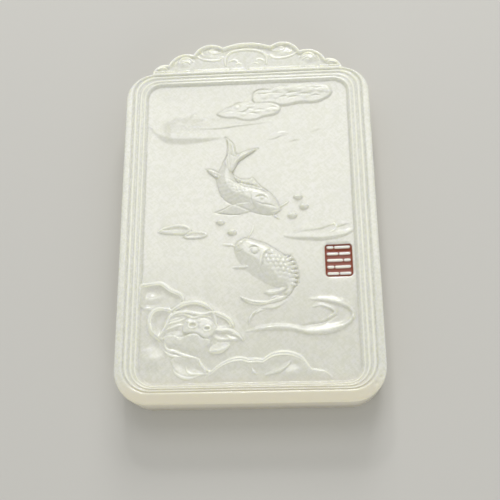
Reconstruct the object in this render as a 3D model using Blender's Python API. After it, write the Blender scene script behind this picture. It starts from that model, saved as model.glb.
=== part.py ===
"""Jade pendant: an upright carved plaque with a scrolled crest, lying on its back.

Metres, +Z up. The plaque lies flat: its back is on z = 0, its carved front looks up, the crest points
along +Y, and the origin is under the middle of the plaque.

The figures are drawn on a grid of drawing units, one to the millimetre at the real size. Their places and
outlines are shares of the picture field, so they follow the field when the plaque changes its size. Their
radii and their heights over the field are in drawing units too.
"""

import math

import bmesh
import bpy
import numpy as np

# The plaque.
PLAQUE_WIDTH = 0.038
SHOULDER_HEIGHT = 0.0521
CREST_HEIGHT = 0.0052
THICKNESS = 0.0066
SHOULDER_RADIUS = 0.0044
FOOT_RADIUS = 0.005
EDGE_ROUND = 0.0003

# The frame round the picture field, measured inwards from the plaque's sides, foot and shoulders.
BAND_SIDE = 0.00105
BAND_FOOT = 0.0017
BAND_TOP = 0.0002
CHANNEL_DEPTH = 0.0003
RIB_RADIUS = 0.00028
BEAD_RADIUS = 0.0002
RIB_PLACE = 0.24
BEAD_PLACE = 0.6
FIELD_MARGIN_SIDE = 0.0032
FIELD_MARGIN_FOOT = 0.0025
FIELD_MARGIN_TOP = 0.0019
FIELD_RADIUS = 0.0024
FIELD_DEPTH = 0.00085
FIELD_SLOPE = 0.0003

# The crest.
CREST_LIP = 0.0004
CREST_SINK = 0.00045
SCROLL_RADIUS = 0.00022
SCROLL_SET_DOWN = 0.00005
SCROLL_TAPER = (0.5, 1.0, 0.7)
SCROLL_SHARE = 0.9
FILLET_SHARE = 0.8

# The seal.
SEAL_WIDTH = 0.004
SEAL_HEIGHT = 0.005
SEAL_RADIUS = 0.0005
SEAL_SINK = 0.0003
SEAL_BAR = 0.0004
SEAL_BAR_SET_DOWN = 0.00002
SEAL_ROWS = 5

# The back and the cord hole.
BACK_MARGIN = 0.003
BACK_SINK = 0.0003
BACK_RADIUS = 0.0024
CORD_HOLE_RADIUS = 0.0009
CORD_HOLE_DROP = 0.0048
CORD_HOLE_RUN_ON = 0.0027
CORD_HOLE_SIDES = 20

# Small nicks at the right foot corner: inwards from the side, up from the foot, and radius.
NICKS = ((0.0008, 0.0034, 0.0004), (0.0016, 0.0025, 0.0003))
NICK_DEPTH = 0.00015

# The drawing grid, in drawing units, which the figures below are drawn on.
GRID_WIDTH = 31.6
GRID_FOOT = 2.5
GRID_HEIGHT = 47.7
CREST_GRID_WIDTH = 38.0
CREST_GRID_FOOT = 52.1
CREST_GRID_HEIGHT = 5.2

# How far carved pieces reach into the stone under the field.
ROOT = 0.0006

TOTAL_HEIGHT = SHOULDER_HEIGHT + CREST_HEIGHT
FOOT_Y = -TOTAL_HEIGHT / 2
FIELD_WIDTH = PLAQUE_WIDTH - 2 * FIELD_MARGIN_SIDE
FIELD_HEIGHT = SHOULDER_HEIGHT - FIELD_MARGIN_FOOT - FIELD_MARGIN_TOP
FIELD_Z = THICKNESS - FIELD_DEPTH
UNIT = min(FIELD_WIDTH / GRID_WIDTH, FIELD_HEIGHT / GRID_HEIGHT)

# Points of a curve's caps and sides this close are the same point.
WELD = 1e-7

JADE_COLOUR = (0.72, 0.75, 0.66, 1.0)
JADE_ROUGHNESS = 0.3


def clear_scene():
    for obj in list(bpy.data.objects):
        bpy.data.objects.remove(obj, do_unlink=True)


def new_collection(name, helpers=False):
    collection = bpy.data.collections.new(name)
    bpy.context.scene.collection.children.link(collection)
    collection.hide_render = helpers
    return collection


def on_field(u, v):
    """A point of the drawing grid, in metres on the plaque."""
    x = u * FIELD_WIDTH / GRID_WIDTH
    y = FOOT_Y + FIELD_MARGIN_FOOT + (v - GRID_FOOT) * FIELD_HEIGHT / GRID_HEIGHT
    return x, y


def on_crest(u, v):
    """A point of the crest's drawing grid, in metres on the plaque."""
    x = u * PLAQUE_WIDTH / CREST_GRID_WIDTH
    y = FOOT_Y + SHOULDER_HEIGHT + (v - CREST_GRID_FOOT) * CREST_HEIGHT / CREST_GRID_HEIGHT
    return x, y


def arc(centre, radius, start, end, steps):
    """Points on an arc, angles in degrees."""
    angles = np.radians(np.linspace(start, end, steps + 1))
    return [(centre[0] + radius * math.cos(a), centre[1] + radius * math.sin(a)) for a in angles]


def arc_through(a, b, c, steps):
    """Points on the arc from a through b to c."""
    a, b, c = (np.array(p, float) for p in (a, b, c))
    ab, bc = b - a, c - b
    rows = np.array([ab, bc])
    centre = np.linalg.solve(rows, np.array([ab @ (a + b) / 2, bc @ (b + c) / 2]))
    angles = [math.atan2(*(p - centre)[::-1]) for p in (a, b, c)]
    angles = np.unwrap(angles)
    radius = np.linalg.norm(a - centre)
    sweep = np.linspace(angles[0], angles[2], steps + 1)
    return [(centre[0] + radius * math.cos(t), centre[1] + radius * math.sin(t)) for t in sweep]


def rounded_box(side, foot, top, radius, top_radius=None, steps=6):
    """The outline of a box set in from the plaque's sides, foot and shoulders."""
    top_radius = radius if top_radius is None else top_radius
    half = PLAQUE_WIDTH / 2 - side
    low = FOOT_Y + foot
    high = FOOT_Y + SHOULDER_HEIGHT - top
    return (
        arc((half - radius, low + radius), radius, -90, 0, steps)
        + arc((half - top_radius, high - top_radius), top_radius, 0, 90, steps)
        + arc((top_radius - half, high - top_radius), top_radius, 90, 180, steps)
        + arc((radius - half, low + radius), radius, 180, 270, steps)
    )


# Each lobe of the crest's right half runs from the last one's end, through the first point to the second.
CREST_LOBES = (((14.3, 53.4), (12.5, 53.75)), ((11.3, 55.15), (8.5, 55.45)), ((6.3, 57.15), (3.8, 56.55)))
CREST_PEAK = (0.0, 57.3)
SHOULDER_ANGLE = 84
LOBE_STEPS = 6


def crest_line():
    """The crest's outline from the right shoulder over the peak to the left one."""
    half = PLAQUE_WIDTH / 2
    centre = (half - SHOULDER_RADIUS, FOOT_Y + SHOULDER_HEIGHT - SHOULDER_RADIUS)
    start = arc(centre, SHOULDER_RADIUS, 0, SHOULDER_ANGLE, 1)[-1]
    right = [start]
    for through, end in CREST_LOBES:
        right += arc_through(right[-1], on_crest(*through), on_crest(*end), LOBE_STEPS)[1:]
    left = [(-x, y) for x, y in reversed(right)]
    peak = arc_through(right[-1], on_crest(*CREST_PEAK), left[0], 2 * LOBE_STEPS)[1:-1]
    return right + peak + left


def plaque_outline():
    """The whole outline, anticlockwise from the foot."""
    half = PLAQUE_WIDTH / 2
    foot_y = FOOT_Y + FOOT_RADIUS
    shoulder_y = FOOT_Y + SHOULDER_HEIGHT - SHOULDER_RADIUS
    inner = half - SHOULDER_RADIUS
    right = arc((inner, shoulder_y), SHOULDER_RADIUS, 0, SHOULDER_ANGLE, 8)[:-1]
    left = [(-x, y) for x, y in reversed(right)]
    return (
        arc((half - FOOT_RADIUS, foot_y), FOOT_RADIUS, -90, 0, 8)
        + right
        + crest_line()
        + left
        + arc((FOOT_RADIUS - half, foot_y), FOOT_RADIUS, 180, 270, 8)
    )


def set_in(line, distance):
    """The line moved to its left by a distance, each point along its own normal."""
    points = np.array(line)
    along = np.gradient(points, axis=0)
    along /= np.linalg.norm(along, axis=1)[:, None]
    moved = points + distance * np.stack([-along[:, 1], along[:, 0]], axis=1)
    return [tuple(p) for p in moved]


def to_mesh(source):
    """The curve object made a mesh object, with its caps welded on."""
    graph = bpy.context.evaluated_depsgraph_get()
    mesh = bpy.data.meshes.new_from_object(source.evaluated_get(graph))
    solid = bmesh.new()
    solid.from_mesh(mesh)
    bmesh.ops.remove_doubles(solid, verts=solid.verts, dist=WELD)
    bmesh.ops.dissolve_degenerate(solid, edges=solid.edges, dist=WELD)
    bmesh.ops.recalc_face_normals(solid, faces=solid.faces)
    solid.to_mesh(mesh)
    solid.free()
    name = source.name
    source.name = name + "_curve"
    made = bpy.data.objects.new(name, mesh)
    made.matrix_world = source.matrix_world
    for collection in source.users_collection:
        collection.objects.link(made)
    made.display_type = "WIRE"
    made.hide_render = source.hide_render
    curve = source.data
    bpy.data.objects.remove(source, do_unlink=True)
    bpy.data.curves.remove(curve)
    return made


def curve_object(name, collection, dimensions, resolution):
    curve = bpy.data.curves.new(name, "CURVE")
    curve.dimensions = dimensions
    curve.resolution_u = resolution
    obj = bpy.data.objects.new(name, curve)
    collection.objects.link(obj)
    obj.hide_render = True
    return obj


def fill_spline(curve, points, closed, smooth, corners=()):
    """Adds one spline: smooth through its points, but for the ones listed as corners."""
    spline = curve.splines.new("BEZIER" if smooth else "POLY")
    if smooth:
        spline.bezier_points.add(len(points) - 1)
        for index, (knot, point) in enumerate(zip(spline.bezier_points, points)):
            knot.co = (*point, 0.0)
            kind = "VECTOR" if index in corners else "AUTO"
            knot.handle_left_type = knot.handle_right_type = kind
    else:
        spline.points.add(len(points) - 1)
        for knot, point in zip(spline.points, points):
            knot.co = (*point, 0.0, 1.0)
    spline.use_cyclic_u = closed
    return spline


def slab(name, collection, outline, low, high, round_off=0.0, smooth=False, corners=(), resolution=2):
    """A flat outline made solid from one height to another, with its edges rounded off."""
    obj = curve_object(name, collection, "2D", resolution)
    curve = obj.data
    curve.fill_mode = "BOTH"
    curve.extrude = (high - low) / 2 - round_off
    curve.bevel_depth = round_off
    curve.bevel_resolution = 0
    curve.offset = -round_off
    fill_spline(curve, outline, True, smooth, corners)
    obj.location.z = (high + low) / 2
    return to_mesh(obj)


def strand(name, collection, points, radii, height, base, smooth=True, closed=False, sides=1, resolution=2):
    """A rounded strand along the points: its widest place stands so high over the base."""
    obj = curve_object(name, collection, "3D", resolution)
    curve = obj.data
    widest = max(radii)
    curve.bevel_depth = widest
    curve.bevel_resolution = sides
    curve.use_fill_caps = not closed
    curve.twist_mode = "Z_UP"
    spline = fill_spline(curve, points, closed, smooth)
    knots = spline.bezier_points if smooth else spline.points
    spread = np.interp(np.linspace(0, 1, len(points)), np.linspace(0, 1, len(radii)), radii)
    for knot, radius in zip(knots, spread):
        knot.radius = radius / widest
    obj.location.z = base
    obj.scale.z = height / widest
    return to_mesh(obj)


def dome(name, collection, place, radius, height, base, around=8, rings=4):
    """A rounded button at a place on the plaque."""
    mesh = bpy.data.meshes.new(name)
    ball = bmesh.new()
    bmesh.ops.create_uvsphere(ball, u_segments=around, v_segments=rings, radius=radius)
    ball.to_mesh(mesh)
    ball.free()
    obj = bpy.data.objects.new(name, mesh)
    collection.objects.link(obj)
    obj.location = (*place, base)
    obj.scale.z = height / radius
    obj.display_type = "WIRE"
    obj.hide_render = True
    return obj


def figure(name, carved, outline, height, corners=(), round_off=0.15, resolution=2):
    """A flat figure of the picture, drawn on the grid, standing so many units over the field."""
    points = [on_field(u, v) for u, v in outline]
    top = FIELD_Z + height * UNIT
    return slab(name, carved, points, FIELD_Z - ROOT, top, round_off * UNIT, True, corners, resolution)


def line(name, carved, points, radii, height, base=0.0, sides=0, resolution=2):
    """A raised line of the picture, in grid units, from a height over the field to a greater one."""
    placed = [on_field(u, v) for u, v in points]
    widths = [r * UNIT for r in radii]
    rise = (height - base) * UNIT
    low = FIELD_Z + base * UNIT
    return strand(name, carved, placed, widths, rise, low, sides=sides, resolution=resolution)


def button(name, carved, u, v, radius, height, base=0.0):
    """A rounded button of the picture, in grid units, from a height over the field to a greater one."""
    return dome(name, carved, on_field(u, v), radius * UNIT, (height - base) * UNIT, FIELD_Z + base * UNIT)


def plaque_blank(collection):
    """The uncarved stone, with its edges rounded off."""
    blank = slab("jade_plaque", collection, plaque_outline(), 0.0, THICKNESS, EDGE_ROUND)
    blank.display_type = "TEXTURED"
    blank.hide_render = False
    return blank


def frame_cutters(cutters):
    """The channel that the mouldings stand in and the sunk picture field inside it."""
    above = THICKNESS + ROOT
    foot_radius, top_radius = FOOT_RADIUS - BAND_SIDE, SHOULDER_RADIUS - BAND_SIDE
    channel = rounded_box(BAND_SIDE, BAND_FOOT, BAND_TOP, foot_radius, top_radius)
    slab("channel", cutters, channel, THICKNESS - CHANNEL_DEPTH, above)
    field = rounded_box(FIELD_MARGIN_SIDE, FIELD_MARGIN_FOOT, FIELD_MARGIN_TOP, FIELD_RADIUS)
    cut = slab("picture_field", cutters, field, FIELD_Z, above)
    bottom = [v for v in cut.data.vertices if v.co.z < 0]
    half = (FIELD_WIDTH / 2, FIELD_HEIGHT / 2)
    middle = (0.0, FOOT_Y + FIELD_MARGIN_FOOT + FIELD_HEIGHT / 2)
    for vertex in bottom:
        for axis in (0, 1):
            away = vertex.co[axis] - middle[axis]
            vertex.co[axis] = middle[axis] + away * (1 - FIELD_SLOPE / half[axis])


def frame_mouldings(carved):
    """The rib and the bead, two rounded lines that run round the field, one inside the other."""
    low = THICKNESS - CHANNEL_DEPTH
    for name, place, radius in (("rib", RIB_PLACE, RIB_RADIUS), ("bead", BEAD_PLACE, BEAD_RADIUS)):
        side = BAND_SIDE + place * (FIELD_MARGIN_SIDE - BAND_SIDE)
        foot = BAND_FOOT + place * (FIELD_MARGIN_FOOT - BAND_FOOT)
        top = BAND_TOP + place * (FIELD_MARGIN_TOP - BAND_TOP)
        path = rounded_box(side, foot, top, FOOT_RADIUS - side, SHOULDER_RADIUS - side, steps=5)
        strand(name, carved, path, [radius], radius, low, smooth=False, closed=True)


def crest_cutters(cutters):
    """The crest's sunk ground, inside a lip that follows its lobes."""
    lip = set_in(crest_line(), CREST_LIP)
    base = FOOT_Y + SHOULDER_HEIGHT + CREST_LIP / 2
    inside = [(x, y) for x, y in lip if y > base + CREST_LIP]
    ground = [(-inside[0][0], base), (inside[0][0], base)] + inside
    slab("crest_ground", cutters, ground, THICKNESS - CREST_SINK, THICKNESS + ROOT)


# The crest's scrolls, drawn for its right half.
CREST_SCROLLS = (
    ((7.7, 55.0), (7.0, 54.6), (6.1, 54.3), (5.1, 54.3), (4.1, 54.6)),
    ((7.0, 55.9), (6.2, 56.3), (5.4, 56.2), (4.9, 55.6), (5.4, 55.2), (6.0, 55.4)),
    ((10.9, 54.0), (10.6, 54.6), (9.8, 54.95), (9.0, 54.75), (8.6, 54.2)),
    ((10.1, 53.6), (9.7, 54.1), (9.2, 53.8)),
    ((2.7, 54.0), (2.1, 54.35), (1.5, 54.1)),
    ((1.6, 53.3), (1.1, 53.6), (0.7, 53.35)),
)
CREST_ARCH = ((-3.3, 53.3), (-3.35, 54.7), (-2.5, 55.7), (0.0, 56.2), (2.5, 55.7), (3.35, 54.7), (3.3, 53.3))
CREST_FILLETS = ((3.2, 8.2), (9.1, 10.7), (11.5, 12.6), (13.3, 14.1), (0.5, 2.3))
CREST_FILLET_LINE = 52.85


def crest_scrolls(carved):
    """The arch in the crest's middle, the scrolls on either side of it and the broken fillet below."""
    low = THICKNESS - CREST_SINK
    rise = CREST_SINK - SCROLL_SET_DOWN
    strand("crest_arch", carved, [on_crest(*p) for p in CREST_ARCH], [SCROLL_RADIUS], rise, low, sides=0)
    for side in (1, -1):
        for number, scroll in enumerate(CREST_SCROLLS):
            points = [on_crest(side * u, v) for u, v in scroll]
            radii = [SCROLL_RADIUS * share for share in SCROLL_TAPER]
            name = f"crest_scroll_{number}_{side}"
            strand(name, carved, points, radii, rise * SCROLL_SHARE, low, sides=0)
        for number, (start, end) in enumerate(CREST_FILLETS):
            points = [on_crest(side * u, CREST_FILLET_LINE) for u in (start, end)]
            name = f"crest_fillet_{number}_{side}"
            strand(name, carved, points, [SCROLL_RADIUS], rise * FILLET_SHARE, low, smooth=False)


CLOUD_HIGH = (
    (1.0, 47.5), (1.3, 48.4), (2.4, 48.8), (4.2, 48.8), (5.8, 49.4), (7.3, 49.1), (8.8, 49.5), (10.5, 49.1),
    (12.0, 49.1), (13.4, 48.2), (12.8, 47.1), (11.2, 46.7), (9.0, 46.6), (7.6, 46.2), (5.8, 46.1), (4.2, 46.4),
    (2.7, 46.7), (1.4, 46.7),
)
CLOUD_LOW = (
    (-4.8, 44.8), (-3.6, 45.8), (-2.0, 46.5), (0.2, 46.9), (2.6, 46.9), (4.7, 46.3), (5.2, 45.2), (4.0, 44.5),
    (2.5, 44.5), (1.0, 43.9), (-1.0, 43.8), (-2.6, 44.3),
)
CLOUD_CURLS = (
    (3.0, 47.7, 1.3), (6.0, 47.5, 1.2), (8.9, 48.1, 1.3), (11.6, 47.9, 1.1),
    (-2.5, 45.1, 1.1), (0.3, 45.4, 1.3), (3.4, 45.5, 1.1),
)
CLOUD_LOW_RISE = 0.42
CLOUD_HIGH_RISE = 0.58
CLOUD_HIGH_FOOT = 46.5
# A curl is part of a flattened spiral: its first angle and its sweep in degrees.
CURL_START = -40
CURL_SWEEP = 250
CURL_TIGHTEN = 0.55
CURL_FLATTEN = 0.6
CURL_POINTS = 5
CURL_RADII = (0.1, 0.17, 0.1)
CURL_RISE = 0.14
CURL_ROOT = 0.1
CLOUD_STREAKS = (
    ("high", 0.3, (0.1, 0.55, 0.4, 0.08),
     ((-10.6, 43.5), (-8.6, 43.0), (-6.4, 42.7), (-3.4, 42.8), (0.0, 43.0), (3.2, 43.1))),
    ("low", 0.28, (0.1, 0.5, 0.35, 0.08),
     ((-13.8, 42.4), (-12.2, 41.6), (-10.2, 41.2), (-7.5, 41.2), (-4.0, 41.2))),
)


def clouds(carved):
    """Two banks of cloud, one over the other, with small curls, and the thin streaks beside them."""
    figure("cloud_low", carved, CLOUD_LOW, CLOUD_LOW_RISE, round_off=0.14)
    figure("cloud_high", carved, CLOUD_HIGH, CLOUD_HIGH_RISE, round_off=0.16)
    for number, (u, v, size) in enumerate(CLOUD_CURLS):
        turns = np.radians(CURL_START + CURL_SWEEP * np.linspace(0, 1, CURL_POINTS))
        reach = size / 2 * np.linspace(1, CURL_TIGHTEN, CURL_POINTS)
        points = [(u + r * math.cos(t), v + CURL_FLATTEN * r * math.sin(t)) for t, r in zip(turns, reach)]
        base = CLOUD_HIGH_RISE if v > CLOUD_HIGH_FOOT else CLOUD_LOW_RISE
        line(f"cloud_curl_{number}", carved, points, CURL_RADII, base + CURL_RISE, base - CURL_ROOT)
    for name, height, radii, points in CLOUD_STREAKS:
        line(f"cloud_streak_{name}", carved, points, radii, height, sides=1)


LEAF_NEAR = ((-13.3, 25.5), (-12.2, 26.2), (-10.6, 26.4), (-9.1, 26.2), (-8.6, 25.5), (-9.6, 25.1), (-11.6, 25.1))
LEAF_FAR = ((-9.7, 24.5), (-8.4, 25.2), (-6.8, 25.2), (-6.0, 24.8), (-6.8, 24.3), (-8.4, 24.2))
LEAF_RIM = ((-13.1, 25.6), (-12.2, 26.1), (-10.6, 26.3), (-9.2, 26.1), (-8.8, 25.6), (-9.7, 25.2), (-11.6, 25.2))


def floating_leaves(carved):
    """A pair of small leaves lying on the water, the near one with a raised rim."""
    figure("leaf_far", carved, LEAF_FAR, 0.26, corners=(0,), round_off=0.1)
    figure("leaf_near", carved, LEAF_NEAR, 0.34, corners=(0,), round_off=0.1)
    line("leaf_near_rim", carved, LEAF_RIM, [0.15], 0.48, 0.2)


# Each carp: its spine from the nose to the tail, and the half width of its body along it.
CARP_HIGH_SPINE = (
    (4.6, 28.5), (3.3, 29.4), (1.6, 30.2), (-0.4, 30.9), (-2.1, 32.2), (-3.05, 34.0), (-2.9, 35.8), (-2.4, 37.3),
)
CARP_HIGH_WIDTHS = (0.25, 1.1, 1.65, 1.85, 1.75, 1.3, 0.85, 0.45)
CARP_LOW_SPINE = (
    (-1.8, 22.5), (-0.8, 22.1), (0.9, 21.2), (3.0, 19.9), (5.0, 18.6), (6.2, 17.4), (6.4, 16.3), (5.5, 15.2),
)
CARP_LOW_WIDTHS = (0.3, 1.35, 2.15, 2.35, 2.1, 1.5, 0.95, 0.5)
CARP_HEIGHT = 0.72


def beside(spine, widths, start, end, share, count):
    """Points beside a carp's spine, a share of its half width out, over a stretch of its length."""
    points = np.array(spine)
    spots = np.linspace(0, 1, len(points))
    wanted = np.linspace(start, end, count)
    middle = np.stack([np.interp(wanted, spots, points[:, axis]) for axis in (0, 1)], axis=1)
    along = np.stack([np.interp(wanted, spots, np.gradient(points[:, axis])) for axis in (0, 1)], axis=1)
    along /= np.linalg.norm(along, axis=1)[:, None]
    reach = share * np.interp(wanted, spots, widths)[:, None]
    return [tuple(p) for p in middle + reach * np.stack([-along[:, 1], along[:, 0]], axis=1)]


def carp_body(name, carved, spine, widths):
    """The body: a fat strand along the spine, flattened to low relief."""
    line(f"{name}_body", carved, spine, widths, CARP_HEIGHT, sides=3, resolution=3)


# Ribs run across the upper carp's body between these shares of its half width.
RIB_FROM = 0.25
RIB_TO = 0.8
# Each row of the lower carp's scales, as a share of its half width out from the spine.
SCALE_ROWS = (0.35, -0.1, -0.5)
SCALE_RADIUS = 0.5
SCALE_TOP = 0.8
SCALE_BASE = 0.45
SCALE_FALL = 0.2
MOST_SCALES = 5


def ripples(carved, name, spine, widths, start, end, count):
    """Short raised ribs across the body, like scales seen on edge."""
    inner = beside(spine, widths, start, end, RIB_FROM, count)
    outer = beside(spine, widths, start, end, RIB_TO, count)
    for number, ends in enumerate(zip(inner, outer)):
        line(f"{name}_ripple_{number}", carved, ends, [0.12], 0.66, 0.35)


def serrated(points, depth):
    """The points with every second one moved to its left, like a cut fin's edge."""
    moved = set_in(points, depth)
    return [moved[i] if i % 2 else points[i] for i in range(len(points))]


# Fins and tails: the name, the height, the rounding of the edge, the corners' numbers and the outline.
CARP_HIGH_FINS = (
    ("tail", 0.34, 0.12, (2, 4, 6),
     ((-3.1, 36.0), (-2.9, 38.3), (-3.3, 40.5), (-2.1, 39.3), (-1.85, 37.7), (-0.4, 38.2), (1.6, 38.4),
      (-0.5, 37.2), (-1.8, 35.6))),
    ("back_fin", 0.4, 0.12, (2,),
     ((-1.9, 33.0), (-0.7, 33.6), (0.7, 34.0), (1.4, 33.0), (2.8, 31.5), (1.0, 31.4), (-0.8, 32.0))),
    ("rear_fin", 0.3, 0.1, (0,), ((-6.2, 35.2), (-5.3, 35.2), (-4.0, 34.9), (-3.9, 33.9), (-5.2, 34.4))),
    ("belly_fin", 0.36, 0.1, (0,),
     ((-4.7, 28.2), (-3.3, 28.8), (-1.8, 29.4), (0.2, 29.3), (0.5, 28.3), (-1.4, 28.0), (-3.2, 27.9))),
)
CARP_LOW_FINS = (
    ("tail_high", 0.36, 0.1, (4,),
     ((5.9, 15.6), (4.6, 15.0), (3.3, 14.5), (1.8, 14.2), (-1.3, 15.3), (0.6, 13.7), (3.0, 13.5), (5.2, 14.3))),
    ("tail_low", 0.28, 0.1, (3,),
     ((5.4, 14.9), (3.6, 13.4), (1.8, 13.0), (0.0, 10.9), (0.5, 12.6), (1.9, 13.9), (3.8, 14.6))),
    ("belly_fin", 0.4, 0.1, (0,),
     ((1.9, 15.7), (3.4, 16.0), (5.1, 16.5), (5.8, 15.9), (4.4, 15.5), (3.0, 15.3))),
    ("breast_fin", 0.4, 0.1, (0,), ((-2.4, 19.5), (-1.2, 20.1), (0.3, 20.4), (0.6, 19.5), (-0.4, 19.1))),
)
# Raised lines: the name, the radii along it, the top and base heights, and the points.
WHISKER = (0.14, 0.05)
CARP_HIGH_LINES = (
    ("gill", (0.1, 0.2, 0.1), 0.8, 0.4, ((1.5, 31.3), (0.6, 30.6), (0.7, 29.3))),
    ("jaw", (0.1, 0.16, 0.1), 0.62, 0.1, ((2.4, 29.2), (3.4, 28.8), (4.4, 28.5))),
    ("whisker_1", WHISKER, 0.24, 0.0, ((4.4, 28.6), (5.3, 29.2), (6.0, 29.6))),
    ("whisker_2", WHISKER, 0.24, 0.0, ((3.4, 28.2), (3.9, 27.6), (4.6, 27.0))),
)
CARP_LOW_LINES = (
    ("gill", (0.1, 0.24, 0.1), 0.8, 0.4, ((2.9, 21.9), (2.3, 20.9), (1.4, 19.9))),
    ("brow", (0.1, 0.2, 0.1), 0.74, 0.4, ((0.0, 22.5), (0.8, 22.6), (1.6, 22.1))),
    ("whisker_1", WHISKER, 0.24, 0.0, ((-1.7, 22.7), (-2.5, 23.1), (-3.6, 23.1))),
    ("whisker_2", WHISKER, 0.24, 0.0, ((-0.2, 23.5), (0.4, 24.8), (0.7, 26.0))),
)
CARP_HIGH_EYE = (2.3, 30.1, 0.36, 0.8, 0.5)
CARP_LOW_EYE = (0.85, 21.5, 0.42, 0.82, 0.5)


def carp(name, carved, spine, widths, fins, lines, eye):
    """A carp's body with its fins and tail, its gill and whiskers, and its eye."""
    carp_body(name, carved, spine, widths)
    for part, height, round_off, corners, outline in fins:
        figure(f"{name}_{part}", carved, outline, height, corners, round_off)
    for part, radii, top, base, points in lines:
        line(f"{name}_{part}", carved, points, radii, top, base)
    button(f"{name}_eye", carved, *eye)


def carp_high(carved):
    """The upper carp, diving to the lower right with its forked tail up."""
    spine, widths = CARP_HIGH_SPINE, CARP_HIGH_WIDTHS
    carp("carp_high", carved, spine, widths, CARP_HIGH_FINS, CARP_HIGH_LINES, CARP_HIGH_EYE)
    ripples(carved, "carp_high", spine, widths, 0.42, 0.82, 7)


def carp_low(carved):
    """The lower carp, curled round with its head to the upper left and a cut fin along its back."""
    spine, widths = CARP_LOW_SPINE, CARP_LOW_WIDTHS
    carp("carp_low", carved, spine, widths, CARP_LOW_FINS, CARP_LOW_LINES, CARP_LOW_EYE)
    fin_root = beside(spine, widths, 0.45, 0.9, 0.5, 5)
    fin_edge = serrated(beside(spine, widths, 0.9, 0.45, 1.05, 15), 0.3)
    fin = fin_root + fin_edge
    figure("carp_low_back_fin", carved, fin, 0.42, corners=range(len(fin)), round_off=0.05, resolution=1)
    for row, share in enumerate(SCALE_ROWS):
        fall = SCALE_FALL * abs(share)
        places = beside(spine, widths, 0.44 + 0.02 * row, 0.76, share, MOST_SCALES - row)
        for number, (u, v) in enumerate(places):
            name = f"carp_low_scale_{row}_{number}"
            button(name, carved, u, v, SCALE_RADIUS, SCALE_TOP - fall, SCALE_BASE - fall)


BUBBLES = ((7.5, 30.5, 0.6), (8.35, 28.9, 0.62), (6.6, 27.5, 0.6), (-4.1, 26.7, 0.55), (-2.4, 25.1, 0.6))


def bubbles(carved):
    for number, (u, v, radius) in enumerate(BUBBLES):
        button(f"bubble_{number}", carved, u, v, radius, 0.34)


WAVE_CREST = (
    (5.2, 24.5), (8.0, 25.2), (10.4, 25.2), (12.6, 26.0), (13.0, 25.3), (14.8, 25.2), (15.2, 24.7), (11.0, 23.9),
)
WAVE_RIDGE = ((5.4, 24.3), (8.0, 24.0), (11.0, 23.9), (13.4, 24.1), (15.2, 24.7))
WAVE_LOOP = (
    (-0.4, 10.1), (3.0, 10.6), (6.4, 10.5), (9.0, 9.9), (12.0, 10.3), (14.2, 11.2), (14.6, 12.5), (12.6, 13.8),
    (9.0, 14.4),
)
WAVE_EYE = ((8.8, 13.4), (10.6, 13.5), (12.0, 12.8), (11.5, 11.9), (10.0, 11.3))
SWELL = (
    (-6.0, 4.2), (-4.3, 5.4), (-2.3, 6.2), (-0.6, 6.2), (0.6, 6.0), (1.9, 6.0), (3.2, 6.8), (5.2, 7.1),
    (7.2, 6.4), (8.6, 4.8), (10.2, 4.2), (11.4, 3.4),
)
SWELL_FOOT = ((11.6, 2.7), (-6.6, 2.7))
SWELL_FOLD = ((2.5, 4.0), (3.9, 4.5), (4.9, 5.1))
# How far a raised rim runs inside the edge of its figure.
RIM_INSET = 0.17


def waves(carved):
    """The curling waves on the right and the long swell that fills the foot of the picture."""
    figure("wave_high", carved, WAVE_CREST, 0.26, corners=(0, 6), round_off=0.1)
    line("wave_high_ridge", carved, WAVE_RIDGE, [0.06, 0.22, 0.28, 0.2], 0.42, 0.1)
    line("wave_loop", carved, WAVE_LOOP, [0.08, 0.26, 0.34, 0.42, 0.5, 0.4, 0.08], 0.5, sides=1)
    line("wave_eye", carved, WAVE_EYE, [0.07, 0.2, 0.26, 0.18, 0.06], 0.4)
    figure("swell", carved, SWELL + SWELL_FOOT, 0.24, corners=(0, 9, 11, 12, 13), round_off=0.08)
    line("swell_edge", carved, set_in(SWELL, -RIM_INSET), [0.12, 0.22, 0.22, 0.22, 0.14], 0.42, 0.16)
    line("swell_fold", carved, SWELL_FOLD, [0.1, 0.4, 0.1], 0.44, 0.14)


# The lotus: each leaf or petal with its height, the corners' numbers and the outline.
LOTUS_LEAVES = (
    ("leaf_back", 0.22, (3,),
     ((-15.3, 17.5), (-12.9, 17.7), (-10.6, 16.4), (-9.2, 15.2), (-11.0, 13.0), (-15.0, 12.6))),
    ("leaf_side", 0.3, (),
     ((-15.1, 8.6), (-13.0, 8.9), (-11.8, 7.8), (-12.0, 6.2), (-13.4, 5.7), (-15.1, 6.2))),
    ("leaf_foot", 0.2, (4,),
     ((-11.4, 6.6), (-8.0, 6.4), (-6.6, 5.6), (-5.8, 4.3), (-8.4, 3.5), (-10.8, 4.7))),
)
LOTUS_PETALS = (
    ("petal_left", 0.32, (),
     ((-12.4, 8.7), (-14.2, 10.2), (-14.5, 12.2), (-13.2, 13.9), (-11.0, 13.7), (-11.1, 10.7))),
    ("petal_top", 0.38, (0, 4),
     ((-11.2, 13.3), (-9.4, 14.8), (-7.4, 15.0), (-5.7, 14.1), (-4.9, 12.8), (-8.0, 12.2))),
    ("petal_right", 0.34, (3,),
     ((-6.0, 12.9), (-3.8, 12.7), (-2.3, 11.6), (-1.9, 10.5), (-3.2, 10.1), (-5.7, 10.9))),
    ("petal_low", 0.4, (3,),
     ((-5.4, 10.6), (-3.0, 10.6), (-1.5, 9.9), (-0.6, 8.8), (-2.4, 8.5), (-5.0, 8.9))),
    ("petal_front", 0.48, (3,),
     ((-5.8, 7.2), (-5.4, 8.4), (-4.0, 8.7), (-2.7, 8.6), (-3.2, 7.5), (-4.4, 7.1))),
    ("petal_fold", 0.36, (),
     ((-11.9, 8.6), (-10.2, 7.4), (-7.4, 6.6), (-7.5, 6.1), (-10.0, 6.3), (-12.1, 7.4))),
)
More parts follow.
